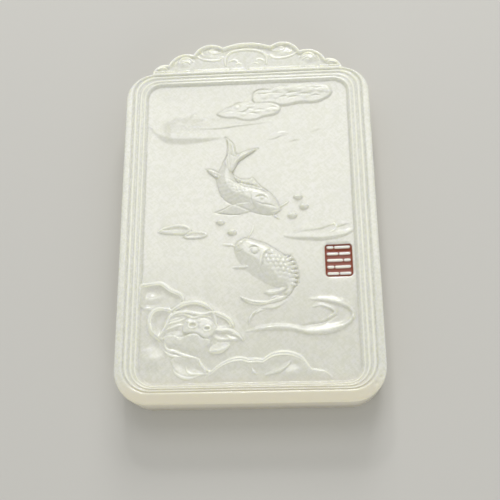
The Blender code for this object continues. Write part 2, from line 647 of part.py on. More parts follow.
LOTUS_BOWL = (
    (-11.9, 10.4), (-11.8, 8.5), (-10.6, 7.4), (-8.6, 6.7), (-6.6, 7.2), (-5.2, 8.8), (-4.8, 10.6), (-8.2, 11.0),
)
LOTUS_CROWN = (
    (-12.5, 10.0), (-12.2, 11.6), (-10.8, 12.9), (-8.6, 13.3), (-6.2, 13.0), (-4.8, 12.7), (-4.6, 10.6),
)
LOTUS_POD = ((-9.4, 11.6), (-8.2, 12.4), (-6.4, 12.2), (-5.0, 11.2), (-5.2, 9.6), (-7.0, 9.7), (-9.0, 9.8))
LOTUS_SEEDS = ((-8.2, 11.1), (-6.9, 11.5), (-5.9, 10.7), (-7.2, 10.5))
# A leaf's or petal's raised rim follows this many of its outline's first points.
RIM_POINTS = 4


def lotus(carved):
    """The open lotus at the lower left: leaves, petals one over another, the bowl and the seed pod."""
    for name, height, corners, outline in LOTUS_LEAVES:
        figure(f"lotus_{name}", carved, outline, height, corners, round_off=0.1)
        rim = set_in(outline[:RIM_POINTS], -RIM_INSET)
        line(f"lotus_{name}_rim", carved, rim, [0.1, 0.2, 0.1], height + 0.14, height - 0.1)
    for name, height, corners, outline in LOTUS_PETALS:
        figure(f"lotus_{name}", carved, outline, height, corners, round_off=0.12)
        rim = set_in(outline[:RIM_POINTS], -RIM_INSET)
        line(f"lotus_{name}_rim", carved, rim, [0.1, 0.22, 0.1], height + 0.16, height - 0.1)
    figure("lotus_bowl", carved, LOTUS_BOWL, 0.6, round_off=0.22)
    line("lotus_crown", carved, LOTUS_CROWN, [0.14, 0.34, 0.34, 0.34, 0.14], 0.66)
    figure("lotus_pod", carved, LOTUS_POD, 0.5, round_off=0.12)
    pod_rim = set_in(LOTUS_POD[-2:] + LOTUS_POD[:5], -RIM_INSET)
    line("lotus_pod_rim", carved, pod_rim, [0.16], 0.72, 0.4)
    for number, (u, v) in enumerate(LOTUS_SEEDS):
        button(f"lotus_seed_{number}", carved, u, v, 0.42, 0.68, 0.45)


SEAL_CENTRE = (13.15, 20.25)
# Each row of the seal: where its bars start and end, as shares of the seal's width inside its margin.
SEAL_PATTERN = (((0.0, 0.42), (0.58, 1.0)), ((0.0, 0.2), (0.36, 1.0)), ((0.0, 0.64), (0.8, 1.0)))


def seal(cutters, carved):
    """The sunk seal panel and its rows of plain raised bars."""
    x, y = on_field(*SEAL_CENTRE)
    half_x, half_y = SEAL_WIDTH / 2 - SEAL_RADIUS, SEAL_HEIGHT / 2 - SEAL_RADIUS
    outline = []
    for quarter, (sx, sy) in enumerate(((1, 1), (-1, 1), (-1, -1), (1, -1))):
        outline += arc((x + sx * half_x, y + sy * half_y), SEAL_RADIUS, 90 * quarter, 90 * quarter + 90, 4)
    slab("seal_panel", cutters, outline, FIELD_Z - SEAL_SINK, THICKNESS + ROOT)
    span = SEAL_WIDTH - 2 * SEAL_RADIUS
    pitch = (SEAL_HEIGHT - 2 * SEAL_RADIUS) / (SEAL_ROWS - 1)
    for row in range(SEAL_ROWS):
        middle = y - SEAL_HEIGHT / 2 + SEAL_RADIUS + row * pitch
        for number, (start, end) in enumerate(SEAL_PATTERN[row % len(SEAL_PATTERN)]):
            left, right = x - span / 2 + start * span, x - span / 2 + end * span
            low, high = middle - SEAL_BAR / 2, middle + SEAL_BAR / 2
            bar = ((left, low), (right, low), (right, high), (left, high))
            slab(f"seal_bar_{row}_{number}", carved, bar, FIELD_Z - ROOT, FIELD_Z - SEAL_BAR_SET_DOWN)


def back_cutters(cutters):
    """The plain back: one shallow sunk panel inside a flat rim."""
    panel = rounded_box(BACK_MARGIN, BACK_MARGIN, BACK_MARGIN, BACK_RADIUS)
    slab("back_panel", cutters, panel, -ROOT, BACK_SINK)


def corner_nicks(cutters):
    """Two small nicks in the frame's outer band, where the right foot corner is worn."""
    for number, (side, foot, radius) in enumerate(NICKS):
        place = (PLAQUE_WIDTH / 2 - side, FOOT_Y + foot)
        dome(f"nick_{number}", cutters, place, radius, NICK_DEPTH, THICKNESS)


def cord_hole(cutters):
    """A slanted hole for a cord, from the middle of the crest's top edge down to the back."""
    top = np.array((0.0, FOOT_Y + TOTAL_HEIGHT, THICKNESS / 2))
    back = np.array((0.0, FOOT_Y + TOTAL_HEIGHT - CORD_HOLE_DROP, 0.0))
    along = top - back
    reach = np.linalg.norm(along) + 2 * CORD_HOLE_RUN_ON
    mesh = bpy.data.meshes.new("cord_hole")
    bore = bmesh.new()
    radius = CORD_HOLE_RADIUS
    sides = CORD_HOLE_SIDES
    bmesh.ops.create_cone(bore, cap_ends=True, segments=sides, radius1=radius, radius2=radius, depth=reach)
    bore.to_mesh(mesh)
    bore.free()
    obj = bpy.data.objects.new("cord_hole", mesh)
    cutters.objects.link(obj)
    obj.location = (top + back) / 2
    obj.rotation_euler = (math.atan2(-along[1], along[2]), 0.0, 0.0)
    obj.display_type = "WIRE"
    obj.hide_render = True


def jade():
    material = bpy.data.materials.new("Polished pale jade")
    material.use_nodes = True
    shader = material.node_tree.nodes["Principled BSDF"]
    shader.inputs["Base Color"].default_value = JADE_COLOUR
    shader.inputs["Roughness"].default_value = JADE_ROUGHNESS
    shader.inputs["Metallic"].default_value = 0.0
    return material


def boolean(target, name, operation, collection):
    modifier = target.modifiers.new(name, "BOOLEAN")
    modifier.operation = operation
    modifier.operand_type = "COLLECTION"
    modifier.collection = collection
    return modifier


def make_plaque():
    collection = new_collection("Jade pendant")
    carved = new_collection("Carving joined to the stone", helpers=True)
    cutters = new_collection("Cutters", helpers=True)
    blank = plaque_blank(collection)
    frame_cutters(cutters)
    crest_cutters(cutters)
    back_cutters(cutters)
    corner_nicks(cutters)
    cord_hole(cutters)
    frame_mouldings(carved)
    crest_scrolls(carved)
    clouds(carved)
    floating_leaves(carved)
    carp_high(carved)
    carp_low(carved)
    bubbles(carved)
    waves(carved)
    lotus(carved)
    seal(cutters, carved)
    boolean(blank, "Sink the front and back", "DIFFERENCE", cutters)
    # Petals and rims overlap in many thin places, where the exact solver leaves slivers.
    boolean(blank, "Raise the carving", "UNION", carved).solver = "MANIFOLD"
    blank.data.materials.append(jade())


def main():
    clear_scene()
    make_plaque()


main()
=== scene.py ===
"""Jade pendant: the carved stone in full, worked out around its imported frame.

The stone is one closed surface. Its face is a cloud of points whose heights are carved one motif after
another, its wall and back follow the same outline, and the points that a plain stretch doesn't need are
left out of the mesh.

The carving functions use millimetres: x across the plaque, y up from the middle of its foot edge, and
heights over the rim of the frame, so that what is sunk is negative.
"""

import math

import bpy
import numpy as np
from bpy.props import FloatProperty, FloatVectorProperty, PointerProperty
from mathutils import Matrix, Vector


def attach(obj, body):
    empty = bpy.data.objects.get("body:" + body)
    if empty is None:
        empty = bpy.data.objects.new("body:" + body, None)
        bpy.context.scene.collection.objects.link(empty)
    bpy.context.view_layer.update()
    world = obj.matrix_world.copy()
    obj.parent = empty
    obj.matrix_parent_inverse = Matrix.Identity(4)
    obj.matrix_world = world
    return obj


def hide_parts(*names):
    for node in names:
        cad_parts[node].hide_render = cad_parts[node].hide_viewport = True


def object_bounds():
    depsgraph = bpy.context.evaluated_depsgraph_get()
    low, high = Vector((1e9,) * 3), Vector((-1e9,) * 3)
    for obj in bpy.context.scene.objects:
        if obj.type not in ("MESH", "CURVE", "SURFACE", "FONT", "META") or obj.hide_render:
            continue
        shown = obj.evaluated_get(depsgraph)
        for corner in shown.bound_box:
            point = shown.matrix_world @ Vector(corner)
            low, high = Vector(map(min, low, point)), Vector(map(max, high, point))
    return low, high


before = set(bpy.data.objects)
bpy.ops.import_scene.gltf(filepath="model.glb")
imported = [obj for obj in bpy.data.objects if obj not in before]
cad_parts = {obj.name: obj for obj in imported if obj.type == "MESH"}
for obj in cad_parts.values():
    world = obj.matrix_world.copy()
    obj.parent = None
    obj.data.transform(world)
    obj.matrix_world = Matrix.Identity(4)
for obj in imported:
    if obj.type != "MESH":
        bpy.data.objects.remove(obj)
CAD_LOW, CAD_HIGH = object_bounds()

bl_info = {
    "name": "Jade pendant",
    "version": (1, 0, 0),
    "blender": (4, 5, 0),
    "location": "3D View > Sidebar > Pendant",
    "description": "Carves a jade plaque pendant with a relief of carp, lotus, clouds and waves",
    "category": "Object",
}

MM = 0.001
NODE = "jade_plaque"
BODY = "root"
# The size in mm that the motifs are drawn for.
DESIGN_WIDTH = 38.0
DESIGN_HEIGHT = 57.3
# The cord hole runs from the crest's wall to this far down the back, in metres, and its cutter runs on past
# both ends.
HOLE_DROP = 0.0048
HOLE_RUN_ON = 0.0027
HOLE_SLOPE = 0.0033 / HOLE_DROP


def linear(code):
    """A six-digit sRGB hex code as linear red, green and blue."""
    parts = [int(code[i:i + 2], 16) / 255 for i in (0, 2, 4)]
    return tuple(c / 12.92 if c <= 0.04045 else ((c + 0.055) / 1.055) ** 2.4 for c in parts)


def length(name, description, default):
    """A length that a user can change, kept in metres."""
    return FloatProperty(
        name=name, description=description, default=default, unit="LENGTH", precision=5, min=0.0
    )


def colour(name, description, code):
    """A colour that a user can change, given as a hex code."""
    return FloatVectorProperty(name=name, description=description, subtype="COLOR", default=linear(code))


class PendantSizes(bpy.types.PropertyGroup):
    """The plaque's own sizes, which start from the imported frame's box."""

    width: length("Width", "Plaque from side to side", CAD_HIGH.x - CAD_LOW.x)
    height: length("Height", "Plaque from its foot to the top of its crest", CAD_HIGH.y - CAD_LOW.y)
    thickness: length("Thickness", "Plaque from its back to its rim", CAD_HIGH.z - CAD_LOW.z)
    crest: length("Crest", "Crest over the shoulders", 0.0052)
    shoulder_radius: length("Shoulder radius", "Rounding of the upper corners", 0.0044)
    foot_radius: length("Foot radius", "Rounding of the lower corners", 0.005)
    edge_round: length("Edge rounding", "Rounding of the front and back edges", 0.0003)
    channel_depth: length("Channel depth", "How deep the frame's mouldings stand in the rim", 0.0003)
    field_depth: length("Field depth", "How far the picture's ground lies below the rim", 0.00085)
    back_sink: length("Back panel depth", "How far the plain back panel is sunk", 0.0003)
    cord_hole: length("Cord hole", "Width of the slanted hole behind the crest", 0.0018)


class PendantLooks(bpy.types.PropertyGroup):
    """The colours of the stone, of its painted highlights, shade and sheen mottling, and of the seal's
    paint, and the stone's gloss.
    """

    stone: colour("Stone", "Body colour of the jade", "F0EFE9")
    deep: colour("Cloudy stone", "Colour of its slightly greener clouds", "E6E6DD")
    # Painted mottling where the grit's strokes lie close: it stands in for the sheen their ripples break up.
    grit_sheen_mottle: colour("Sanded stone", "Colour where the strokes of the last grit lie close", "E3E3D8")
    # Partly a deeper stone colour, partly painted shade down the walls and at the foot.
    deep_stone_and_shade: colour("Deep stone", "Colour of the stone down its walls and at its foot", "E4DECB")
    # Painted highlight on raised lines: it stands in for the glints on their tops and the light that fills
    # thin stone.
    thin: colour("Thin stone", "Colour of raised lines, which light fills", "FFFEEC")
    # Painted shade in the fine cuts, the seed holes and the crest's sunk ground.
    hollow: colour("Stone in a cut", "Colour in the fine cuts", "D8D8C7")
    paint: colour("Seal paint", "Red-brown paint in the seal", "8A350A")
    gloss: FloatProperty(
        name="Roughness", description="Roughness of the polished stone", subtype="FACTOR", default=0.15,
        min=0.0, max=1.0,
    )
    glow: length("Glow depth", "How far light wanders in the stone", 0.0007)


# Smooth steps and curves.

TINY = 1e-9
# How far apart a curve's points lie, and how many points are measured against a path at a time.
CURVE_STEP = 0.22
CHUNK = 4000
# A line whose half width is less than this gets a painted highlight where it is raised and painted shade
# where it is cut, in full from this rise.
FINE_LINE = 0.4
CLEAR_RISE = 0.12
# How a stroke's width and rise change along it, as shares.
STROKE_WIDTHS = np.array([0.5, 1.0, 1.0, 0.5])
STROKE_RISES = np.array([0.3, 1.0, 1.0, 0.3])


def ease(t):
    """Zero below 0, one above 1, and the smooth cubic 3 t^2 - 2 t^3 between them."""
    t = np.clip(t, 0.0, 1.0)
    return t * t * (3.0 - 2.0 * t)


def bump(s):
    """A smooth hill: one at 0, falling as a raised cosine to zero at plus and minus 1."""
    return np.where(np.abs(s) < 1.0, 0.5 + 0.5 * np.cos(np.pi * s), 0.0)


def curve(points, closed=False, corners=()):
    """A smooth line through the points, with sharp turns at the corners.

    Between two points b and c, with a before and d after, it is the Catmull-Rom cubic
    ((2 b) + (c - a) t + (2 a - 5 b + 4 c - d) t^2 + (3 b - a - 3 c + d) t^3) / 2.
    """
    knots = np.array(points, float)
    count = len(knots)
    made = []
    for i in range(count if closed else count - 1):
        b, c = knots[i], knots[(i + 1) % count]
        first = i in corners or not (closed or i)
        last = (i + 1) % count in corners or not (closed or i + 2 < count)
        a = 2 * b - c if first else knots[i - 1]
        d = 2 * c - b if last else knots[(i + 2) % count]
        steps = max(2, math.ceil(np.linalg.norm(c - b) / CURVE_STEP))
        t = np.linspace(0, 1, steps + 1)[:-1, None]
        made.append(
            (2 * b + (c - a) * t + (2 * a - 5 * b + 4 * c - d) * t**2 + (3 * b - a - 3 * c + d) * t**3) / 2
        )
    made.append(knots[:1] if closed else knots[-1:])
    return np.concatenate(made)


def arc_through(a, b, c, steps):
    """Points on the circle's arc from a through b to c."""
    a, b, c = (np.array(p, float) for p in (a, b, c))
    rows = np.array([b - a, c - b])
    centre = np.linalg.solve(rows, np.array([rows[0] @ (a + b), rows[1] @ (b + c)]) / 2)
    turns = np.unwrap([math.atan2(p[1] - centre[1], p[0] - centre[0]) for p in (a, b, c)])
    sweep = np.linspace(turns[0], turns[2], steps + 1)
    radius = np.linalg.norm(a - centre)
    return centre + radius * np.stack([np.cos(sweep), np.sin(sweep)], axis=1)


def oval(centre, radii, count):
    """So many points round an oval, and the first of them again at the end."""
    turns = np.linspace(0, 2 * np.pi, count + 1)
    return np.array(centre) + np.array(radii) * np.stack([np.cos(turns), np.sin(turns)], axis=1)


def even_points(path, count):
    """So many points at even steps along a path."""
    lengths = np.concatenate([[0.0], np.cumsum(np.hypot(*np.diff(path, axis=0).T))])
    wanted = np.linspace(0, lengths[-1], count)
    return np.stack([np.interp(wanted, lengths, path[:, k]) for k in (0, 1)], axis=1)


def left_of(path):
    """At each point of a path, the direction square to its left."""
    step = np.gradient(path, axis=0)
    return np.stack([-step[:, 1], step[:, 0]], axis=1) / np.hypot(step[:, 0], step[:, 1])[:, None]


def follow(points, path):
    """For each point: its distance to the path, the share of the path's length where it is nearest, its
    offset from there, and its side, 1 on the left and -1 on the right.

    The nearest place on a segment from p along s is p + clip((q - p).s / s.s, 0, 1) s.
    """
    start, step = path[:-1], np.diff(path, axis=0)
    squared = np.maximum((step**2).sum(1), TINY)
    lengths = np.sqrt(squared)
    before = np.concatenate([[0.0], np.cumsum(lengths)])
    far, along, side = (np.empty(len(points)) for _ in range(3))
    gap = np.empty((len(points), 2))
    for first in range(0, len(points), CHUNK):
        part = slice(first, first + CHUNK)
        away = points[part, None] - start
        share = np.clip((away * step).sum(2) / squared, 0, 1)
        away -= share[..., None] * step
        spot = (away**2).sum(2).argmin(1)
        row = np.arange(len(spot))
        gap[part] = away[row, spot]
        far[part] = np.hypot(gap[part, 0], gap[part, 1])
        along[part] = (before[spot] + share[row, spot] * lengths[spot]) / before[-1]
        side[part] = np.sign(step[spot, 0] * gap[part, 1] - step[spot, 1] * gap[part, 0])
    return far, along, gap, side


def inside(points, outline):
    """Whether each point is in a closed outline: an upright ray from it crosses an odd number of sides."""
    x, y = points[:, 0], points[:, 1]
    odd = np.zeros(len(points), bool)
    for (ax, ay), (bx, by) in zip(outline[:-1], outline[1:]):
        if ax == bx:
            continue
        odd ^= ((ax > x) != (bx > x)) & (y < (by - ay) * (x - ax) / (bx - ax) + ay)
    return odd


def spread(values, share):
    """The values, set evenly along a line, read at each share of its length."""
    values = np.atleast_1d(values)
    return np.interp(share, np.linspace(0, 1, len(values)), values)


class Face:
    """The carved face as a cloud of points: their places and heights in mm, where paint lies, and edge: one
    along a raised line, which gets a painted highlight, and minus one in a cut, which gets painted shade.
    """

    def __init__(self, places):
        self.at = places
        self.height = np.zeros(len(places))
        self.ground = self.height
        self.paint = np.zeros(len(places))
        self.edge = np.zeros(len(places))

    def near(self, path, margin=0.0):
        """The numbers of the points in the path's box, widened by a margin."""
        low, high = path.min(0) - margin, path.max(0) + margin
        return np.nonzero(((self.at >= low) & (self.at <= high)).all(1))[0]

    def within(self, outline):
        """The numbers of the points inside a closed outline."""
        spots = self.near(outline)
        return spots[inside(self.at[spots], outline)]


def lay(face, outline, top, edge=0.16, skirt=0.0, brow=0.0):
    """Lays a form over what is there. Over the ground its height is top, a number or a function of the depth
    inside its outline and of the points. Its side climbs as a smooth step over the edge's width, and over so
    much more of a skirt where it looks to the foot of the plaque, or of a brow where it looks to the crest.
    """
    spots = face.within(outline)
    points = face.at[spots]
    depth, _, gap, _ = follow(points, outline)
    facing = gap[:, 1] / np.maximum(depth, TINY)
    share = ease(depth / (edge + skirt * np.maximum(facing, 0) - brow * np.minimum(facing, 0)))
    target = face.ground[spots] + (top(depth, points) if callable(top) else top)
    face.height[spots] += share * (target - face.height[spots])
    face.edge[spots] *= 1 - share


def ridge(face, path, widths, rises, right=None):
    """Adds a raised line, or a cut one where a rise is negative: its section is bump(distance / width), with
    other widths on its right side where they are given.
    """
    reach = max(np.max(widths), np.max(widths if right is None else right))
    spots = face.near(path, reach)
    far, along, _, side = follow(face.at[spots], path)
    width = spread(widths, along)
    if right is not None:
        width = np.where(side < 0, spread(right, along), width)
    shape = bump(far / np.maximum(width, TINY))
    rise = spread(rises, along)
    face.height[spots] += rise * shape
    # A fine raised line gets a painted highlight and a fine cut gets painted shade, through the edge value.
    if reach < FINE_LINE:
        face.edge[spots] = np.clip(face.edge[spots] + np.clip(rise / CLEAR_RISE, -1, 1) * shape, -1, 1)


def stroke(face, points, width, rise):
    """A raised line, or a cut one, that thins out at both ends."""
    ridge(face, curve(points), width * STROKE_WIDTHS, rise * STROKE_RISES)


def strokes(face, table, widen=1.0, share=1.0):
    """A table of strokes, given as their points, half width and rise, all wider and lower by a share."""
    for points, width, rise in table:
        stroke(face, points, widen * width, share * rise)


def pit(face, centre, radii, depth, turn=0.0):
    """Adds an oval hollow, or a button where the depth is negative: -depth bump(distance / radius)."""
    reach = max(radii)
    spots = face.near(np.array([centre]), reach)
    away = face.at[spots] - np.array(centre)
    cos, sin = math.cos(math.radians(turn)), math.sin(math.radians(turn))
    u = (away[:, 0] * cos + away[:, 1] * sin) / radii[0]
    v = (away[:, 1] * cos - away[:, 0] * sin) / radii[1]
    face.height[spots] -= depth * bump(np.hypot(u, v))


def curl(centre, radius, start, sweep, tighten=0.35, flatten=0.7, count=14):
    """A spiral line: its radius shrinks evenly to a share of itself as it turns, flattened along y."""
    turns = np.radians(start + sweep * np.linspace(0, 1, count))
    reach = radius * np.linspace(1, tighten, count)
    return np.stack([centre[0] + reach * np.cos(turns), centre[1] + flatten * reach * np.sin(turns)], axis=1)


# The frame round the picture. Each edge's margins inside the plaque's box, at the sides, foot and top: the
# flat band's inner edge, the field's edge, and the line where the field's own grid starts.
BAND = (1.05, 1.7, 0.2)
FIELD = (3.2, 2.7, 1.9)
INNER = (3.6, 3.1, 2.3)
FIELD_RADIUS = 2.4
INNER_RADIUS = 2.0
# The channel's mouldings: the middle and the half width as places across it, and the rise.
RIB = (0.24, 0.17, 0.17)
BEAD = (0.60, 0.14, 0.115)
LIP = (0.88, 0.08, 0.06)
# Where the channel's wall starts and how wide it is, as places across the channel.
CHANNEL_WALL = (-0.04, 0.12)
# The field's wall: where it starts inside the field's edge, and its width.
STEP = (-0.16, 0.5)
# The hollow sweep of the ground inside that wall: its depth at the foot and at the top, and its width.
COVE = (0.08, 0.22, 3.2)
# The most that a moulding's edge value may be, which caps its painted highlight, so that the frame stays
# calmer than the picture.
FRAME_HIGHLIGHT = 0.38


def box_depth(points, box, size):
    """How deep each point lies inside a box with rounded corners, negative outside. With the offset beyond
    the corner's centre (u, v) it is radius - hypot(max(u, 0), max(v, 0)) - min(max(u, v), 0).
    """
    (side, foot, top), foot_radius, top_radius = box
    x, y = np.abs(points[:, 0]), points[:, 1]
    middle = size["shoulder"] / 2
    upper = y > middle
    radius = np.where(upper, top_radius, foot_radius)
    u = x - (size["width"] / 2 - side - radius)
    v = np.where(upper, y - (size["shoulder"] - top - radius), (foot + radius) - y)
    return radius - np.hypot(np.maximum(u, 0), np.maximum(v, 0)) - np.minimum(np.maximum(u, v), 0)


def boxes(size):
    """The frame's outer edge, its channel's edge, the field's edge and the start of the field's grid."""
    foot, shoulder = size["foot_radius"], size["shoulder_radius"]
    return (
        ((0.0, 0.0, 0.0), foot, shoulder),
        (BAND, foot - BAND[0], shoulder - BAND[0]),
        (FIELD, FIELD_RADIUS, FIELD_RADIUS),
        (INNER, INNER_RADIUS, INNER_RADIUS),
    )


def carve_frame(face, size):
    """The rim's flat band, the channel with its rib, bead and fine lip, and the slope down to the ground.

    Across the channel a place c runs from 0 at its outer to 1 at its inner edge: with the depths a and b
    inside those two edges, c = a / (a - b).
    """
    _, channel, field, _ = boxes(size)
    in_channel = box_depth(face.at, channel, size)
    in_field = box_depth(face.at, field, size)
    place = in_channel / np.maximum(in_channel - in_field, TINY)
    face.height -= size["channel_depth"] * ease((place - CHANNEL_WALL[0]) / CHANNEL_WALL[1])
    for middle, half, rise in (RIB, BEAD, LIP):
        shape = bump((place - middle) / half)
        face.height += rise * shape
        # The mouldings get a painted highlight, weaker than the picture's.
        face.edge = np.maximum(face.edge, FRAME_HIGHLIGHT * shape)
    cove = COVE[0] + (COVE[1] - COVE[0]) * ease(face.at[:, 1] / size["shoulder"])
    floor = size["field_depth"] - size["channel_depth"] - cove
    face.height -= floor * ease((in_field - STEP[0]) / STEP[1])
    face.height -= cove * ease(in_field / COVE[2])


# The crest. Each lobe of its right half runs from the last one's end, through one point to the next.
CREST_LOBES = (((14.3, 53.4), (12.5, 53.75)), ((11.3, 55.15), (8.5, 55.45)), ((6.3, 57.15), (3.8, 56.55)))
CREST_PEAK = (0.0, 57.3)
LOBE_STEPS = 40
# The flat lip along the lobes, the slope inside it, and the middle and half width of the painted highlight
# line on it.
CREST_LIP = 0.12
CREST_LIP_SLOPE = 0.7
CREST_LIP_HIGHLIGHT = (0.2, 0.25)
# The crest's ground: where it starts over the shoulders, its slope there, how deep it is, and how much
# deeper it gets with each mm up.
CREST_START = 0.02
CREST_SLOPE = 0.3
CREST_SINK = 0.32
CREST_DIP = 0.055
# The domes in the lobes of its right half: the middle and the radii.
CREST_DOMES = (((5.8, 55.4), (2.0, 1.5)), ((10.0, 54.1), (1.9, 1.3)), ((13.5, 53.1), (1.1, 0.8)))
CREST_DOME_RISE = 0.26
# Raised lines of the crest's right half: the points, the half widths and the rises. They stand this share of
# those rises high.
CREST_LINE_SHARE = 0.42
CREST_LINES = (
    (((7.9, 55.2), (7.3, 54.75), (6.3, 54.4), (5.2, 54.3), (4.3, 54.45), (3.8, 54.9)),
     (0.12, 0.24, 0.26, 0.2), 0.34),
    (((4.0, 55.9), (4.7, 55.65), (5.5, 55.65), (6.0, 56.0), (5.7, 56.4), (5.2, 56.4)),
     (0.12, 0.22, 0.18, 0.12), 0.3),
    (((7.1, 56.1), (7.2, 55.6), (6.8, 55.3)), (0.1, 0.18, 0.1), 0.22),
    (((10.9, 54.0), (10.6, 54.6), (9.9, 54.95), (9.1, 54.8), (8.6, 54.3)), (0.12, 0.26, 0.26, 0.14), 0.34),
    (((10.2, 53.9), (9.8, 54.2), (9.3, 54.15), (9.0, 53.8)), (0.12, 0.2, 0.12), 0.3),
    (((11.6, 53.6), (11.4, 54.1), (11.1, 54.4)), (0.1, 0.18, 0.1), 0.24),
    (((14.1, 53.0), (13.6, 53.25), (13.0, 53.2), (12.7, 52.95)), (0.12, 0.2, 0.14), 0.3),
    (((2.7, 54.0), (2.2, 54.3), (1.7, 54.2), (1.5, 53.9)), (0.12, 0.22, 0.14), 0.32),
    (((1.8, 53.4), (1.3, 53.65), (0.9, 53.5)), (0.1, 0.2, 0.1), 0.28),
)
CREST_ARCH = (
    (-3.3, 53.3), (-3.4, 54.6), (-2.6, 55.7), (-1.4, 56.05), (0.0, 56.15), (1.4, 56.0), (2.6, 55.5),
    (3.2, 54.6), (3.15, 53.3),
)
ARCH_WIDTHS = (0.2, 0.34, 0.34, 0.34, 0.2)
ARCH_RISE = 0.22
# The broken fillet under the crest: where its pieces start and end, its place up the plaque, its section.
CREST_FILLETS = ((0.5, 2.4), (3.0, 8.3), (9.3, 10.9), (11.7, 12.7), (13.2, 14.3))
FILLET_LINE = 52.5
FILLET_WIDTH = 0.24
FILLET_RISE = 0.22
# What stands over a line this far under the rim is brought down towards it.
LOW_ROOM = 0.08


def crest_line(start):
    """The crest's outline from its right end, over the lobes and the peak, to its left end."""
    right = [np.array([start])]
    for through, end in CREST_LOBES:
        right.append(arc_through(right[-1][-1], through, end, LOBE_STEPS)[1:])
    right = np.concatenate(right)
    left = right[::-1] * (-1, 1)
    peak = arc_through(right[-1], CREST_PEAK, left[0], 2 * LOBE_STEPS)[1:-1]
    return np.concatenate([right, peak, left])


def carve_crest(face, size, outline):
    """The crest: a lip along its lobes, a sunk ground with domed lobes, and the scrolls, the arch and the
    broken fillet that stand on it. A painted highlight runs along the lip and painted shade lies on the
    ground.
    """
    base = size["shoulder"]
    spots = np.nonzero(face.at[:, 1] > base - CREST_SLOPE)[0]
    points = face.at[spots]
    within = follow(points, outline)[0]
    over = ease((points[:, 1] - base - CREST_START) / CREST_SLOPE)
    ground = over * ease((within - CREST_LIP) / CREST_LIP_SLOPE)
    face.height[spots] -= (CREST_SINK + CREST_DIP * (points[:, 1] - base)) * ground
    line = bump((within - CREST_LIP_HIGHLIGHT[0]) / CREST_LIP_HIGHLIGHT[1])
    # A painted highlight along the lip, and painted shade on the sunk ground.
    face.edge[spots] = np.maximum(face.edge[spots] - ground, line)
    for (x, y), radii in CREST_DOMES:
        for side in (1, -1):
            pit(face, (side * x, y), radii, -CREST_DOME_RISE)
    ridge(face, curve(CREST_ARCH), ARCH_WIDTHS, ARCH_RISE)
    for side in (1, -1):
        for points, widths, rise in CREST_LINES:
            ridge(face, curve(points) * (side, 1), widths, CREST_LINE_SHARE * rise)
        for start, end in CREST_FILLETS:
            path = np.array([[start, FILLET_LINE], [end, FILLET_LINE]]) * (side, 1)
            ridge(face, path, FILLET_WIDTH, FILLET_RISE)
    face.height[spots] = np.minimum(face.height[spots], 0)
    # The crest's painted highlights are held as low as the frame's.
    face.edge[spots] = np.minimum(face.edge[spots], FRAME_HIGHLIGHT)


def keep_low(face):
    """Brings what stands over a line close under the rim down towards it: with e the height over the line,
    it becomes LOW_ROOM tanh(e / LOW_ROOM)."""
    above = np.maximum(face.height + LOW_ROOM, 0)
    raised = face.height > face.ground + TINY
    lowered = LOW_ROOM * np.tanh(above / LOW_ROOM) - LOW_ROOM
    face.height = np.where(raised, np.minimum(face.height, lowered), face.height)


def round_edge(face, size, outline):
    """Rounds the front edge off: at a distance d inside the outline it is r - sqrt(r^2 - (r - d)^2) low."""
    radius = size["edge_round"]
    within = box_depth(face.at, boxes(size)[0], size)
    crest = np.nonzero(face.at[:, 1] > size["shoulder"] - size["shoulder_radius"])[0]
    middle = np.abs(face.at[crest, 0]) < outline[0, 0] + TINY
    far = follow(face.at[crest], outline)[0]
    within[crest] = np.where(middle, far, np.minimum(far, within[crest]))
    missing = np.clip(radius - within, 0, radius)
    face.height -= radius - np.sqrt(radius**2 - missing**2)


# The picture. A hollow that is drawn where the camera sees it lies this far too low, so the motifs move up.
SEEN_LOW = np.array([0.0, 0.2])

# The sky: two banks of cloud with the height of each.
CLOUD_HIGH = (
    (0.8, 46.9), (0.8, 47.7), (1.15, 48.4), (1.8, 48.75), (2.6, 48.85), (3.5, 48.75), (4.4, 49.0),
    (5.4, 49.3), (6.6, 49.45), (8.0, 49.5), (9.2, 49.6), (10.4, 49.5), (11.6, 49.3), (12.6, 49.0),
    (13.25, 48.4), (13.3, 47.6), (12.9, 47.0), (12.1, 46.5), (11.2, 46.1), (10.0, 45.95), (8.6, 46.05),
    (7.2, 45.85), (6.0, 45.6), (5.0, 45.7), (4.2, 46.0), (3.2, 46.15), (2.0, 46.1), (1.2, 46.2),
)
CLOUD_LOW = (
    (-4.8, 44.8), (-4.2, 45.4), (-3.4, 45.75), (-2.5, 46.1), (-1.8, 46.5), (-0.8, 46.75), (0.4, 46.8),
    (1.8, 46.8), (3.2, 46.8), (4.5, 46.4), (5.2, 45.7), (5.15, 44.8), (4.5, 44.2), (3.5, 43.95),
    (2.4, 43.75), (1.5, 43.35), (0.3, 43.2), (-0.9, 43.35), (-1.8, 43.7), (-3.0, 43.75), (-4.0, 44.0),
    (-4.6, 44.35),
)
CLOUD_BANKS = ((CLOUD_LOW, 0.22), (CLOUD_HIGH, 0.27))
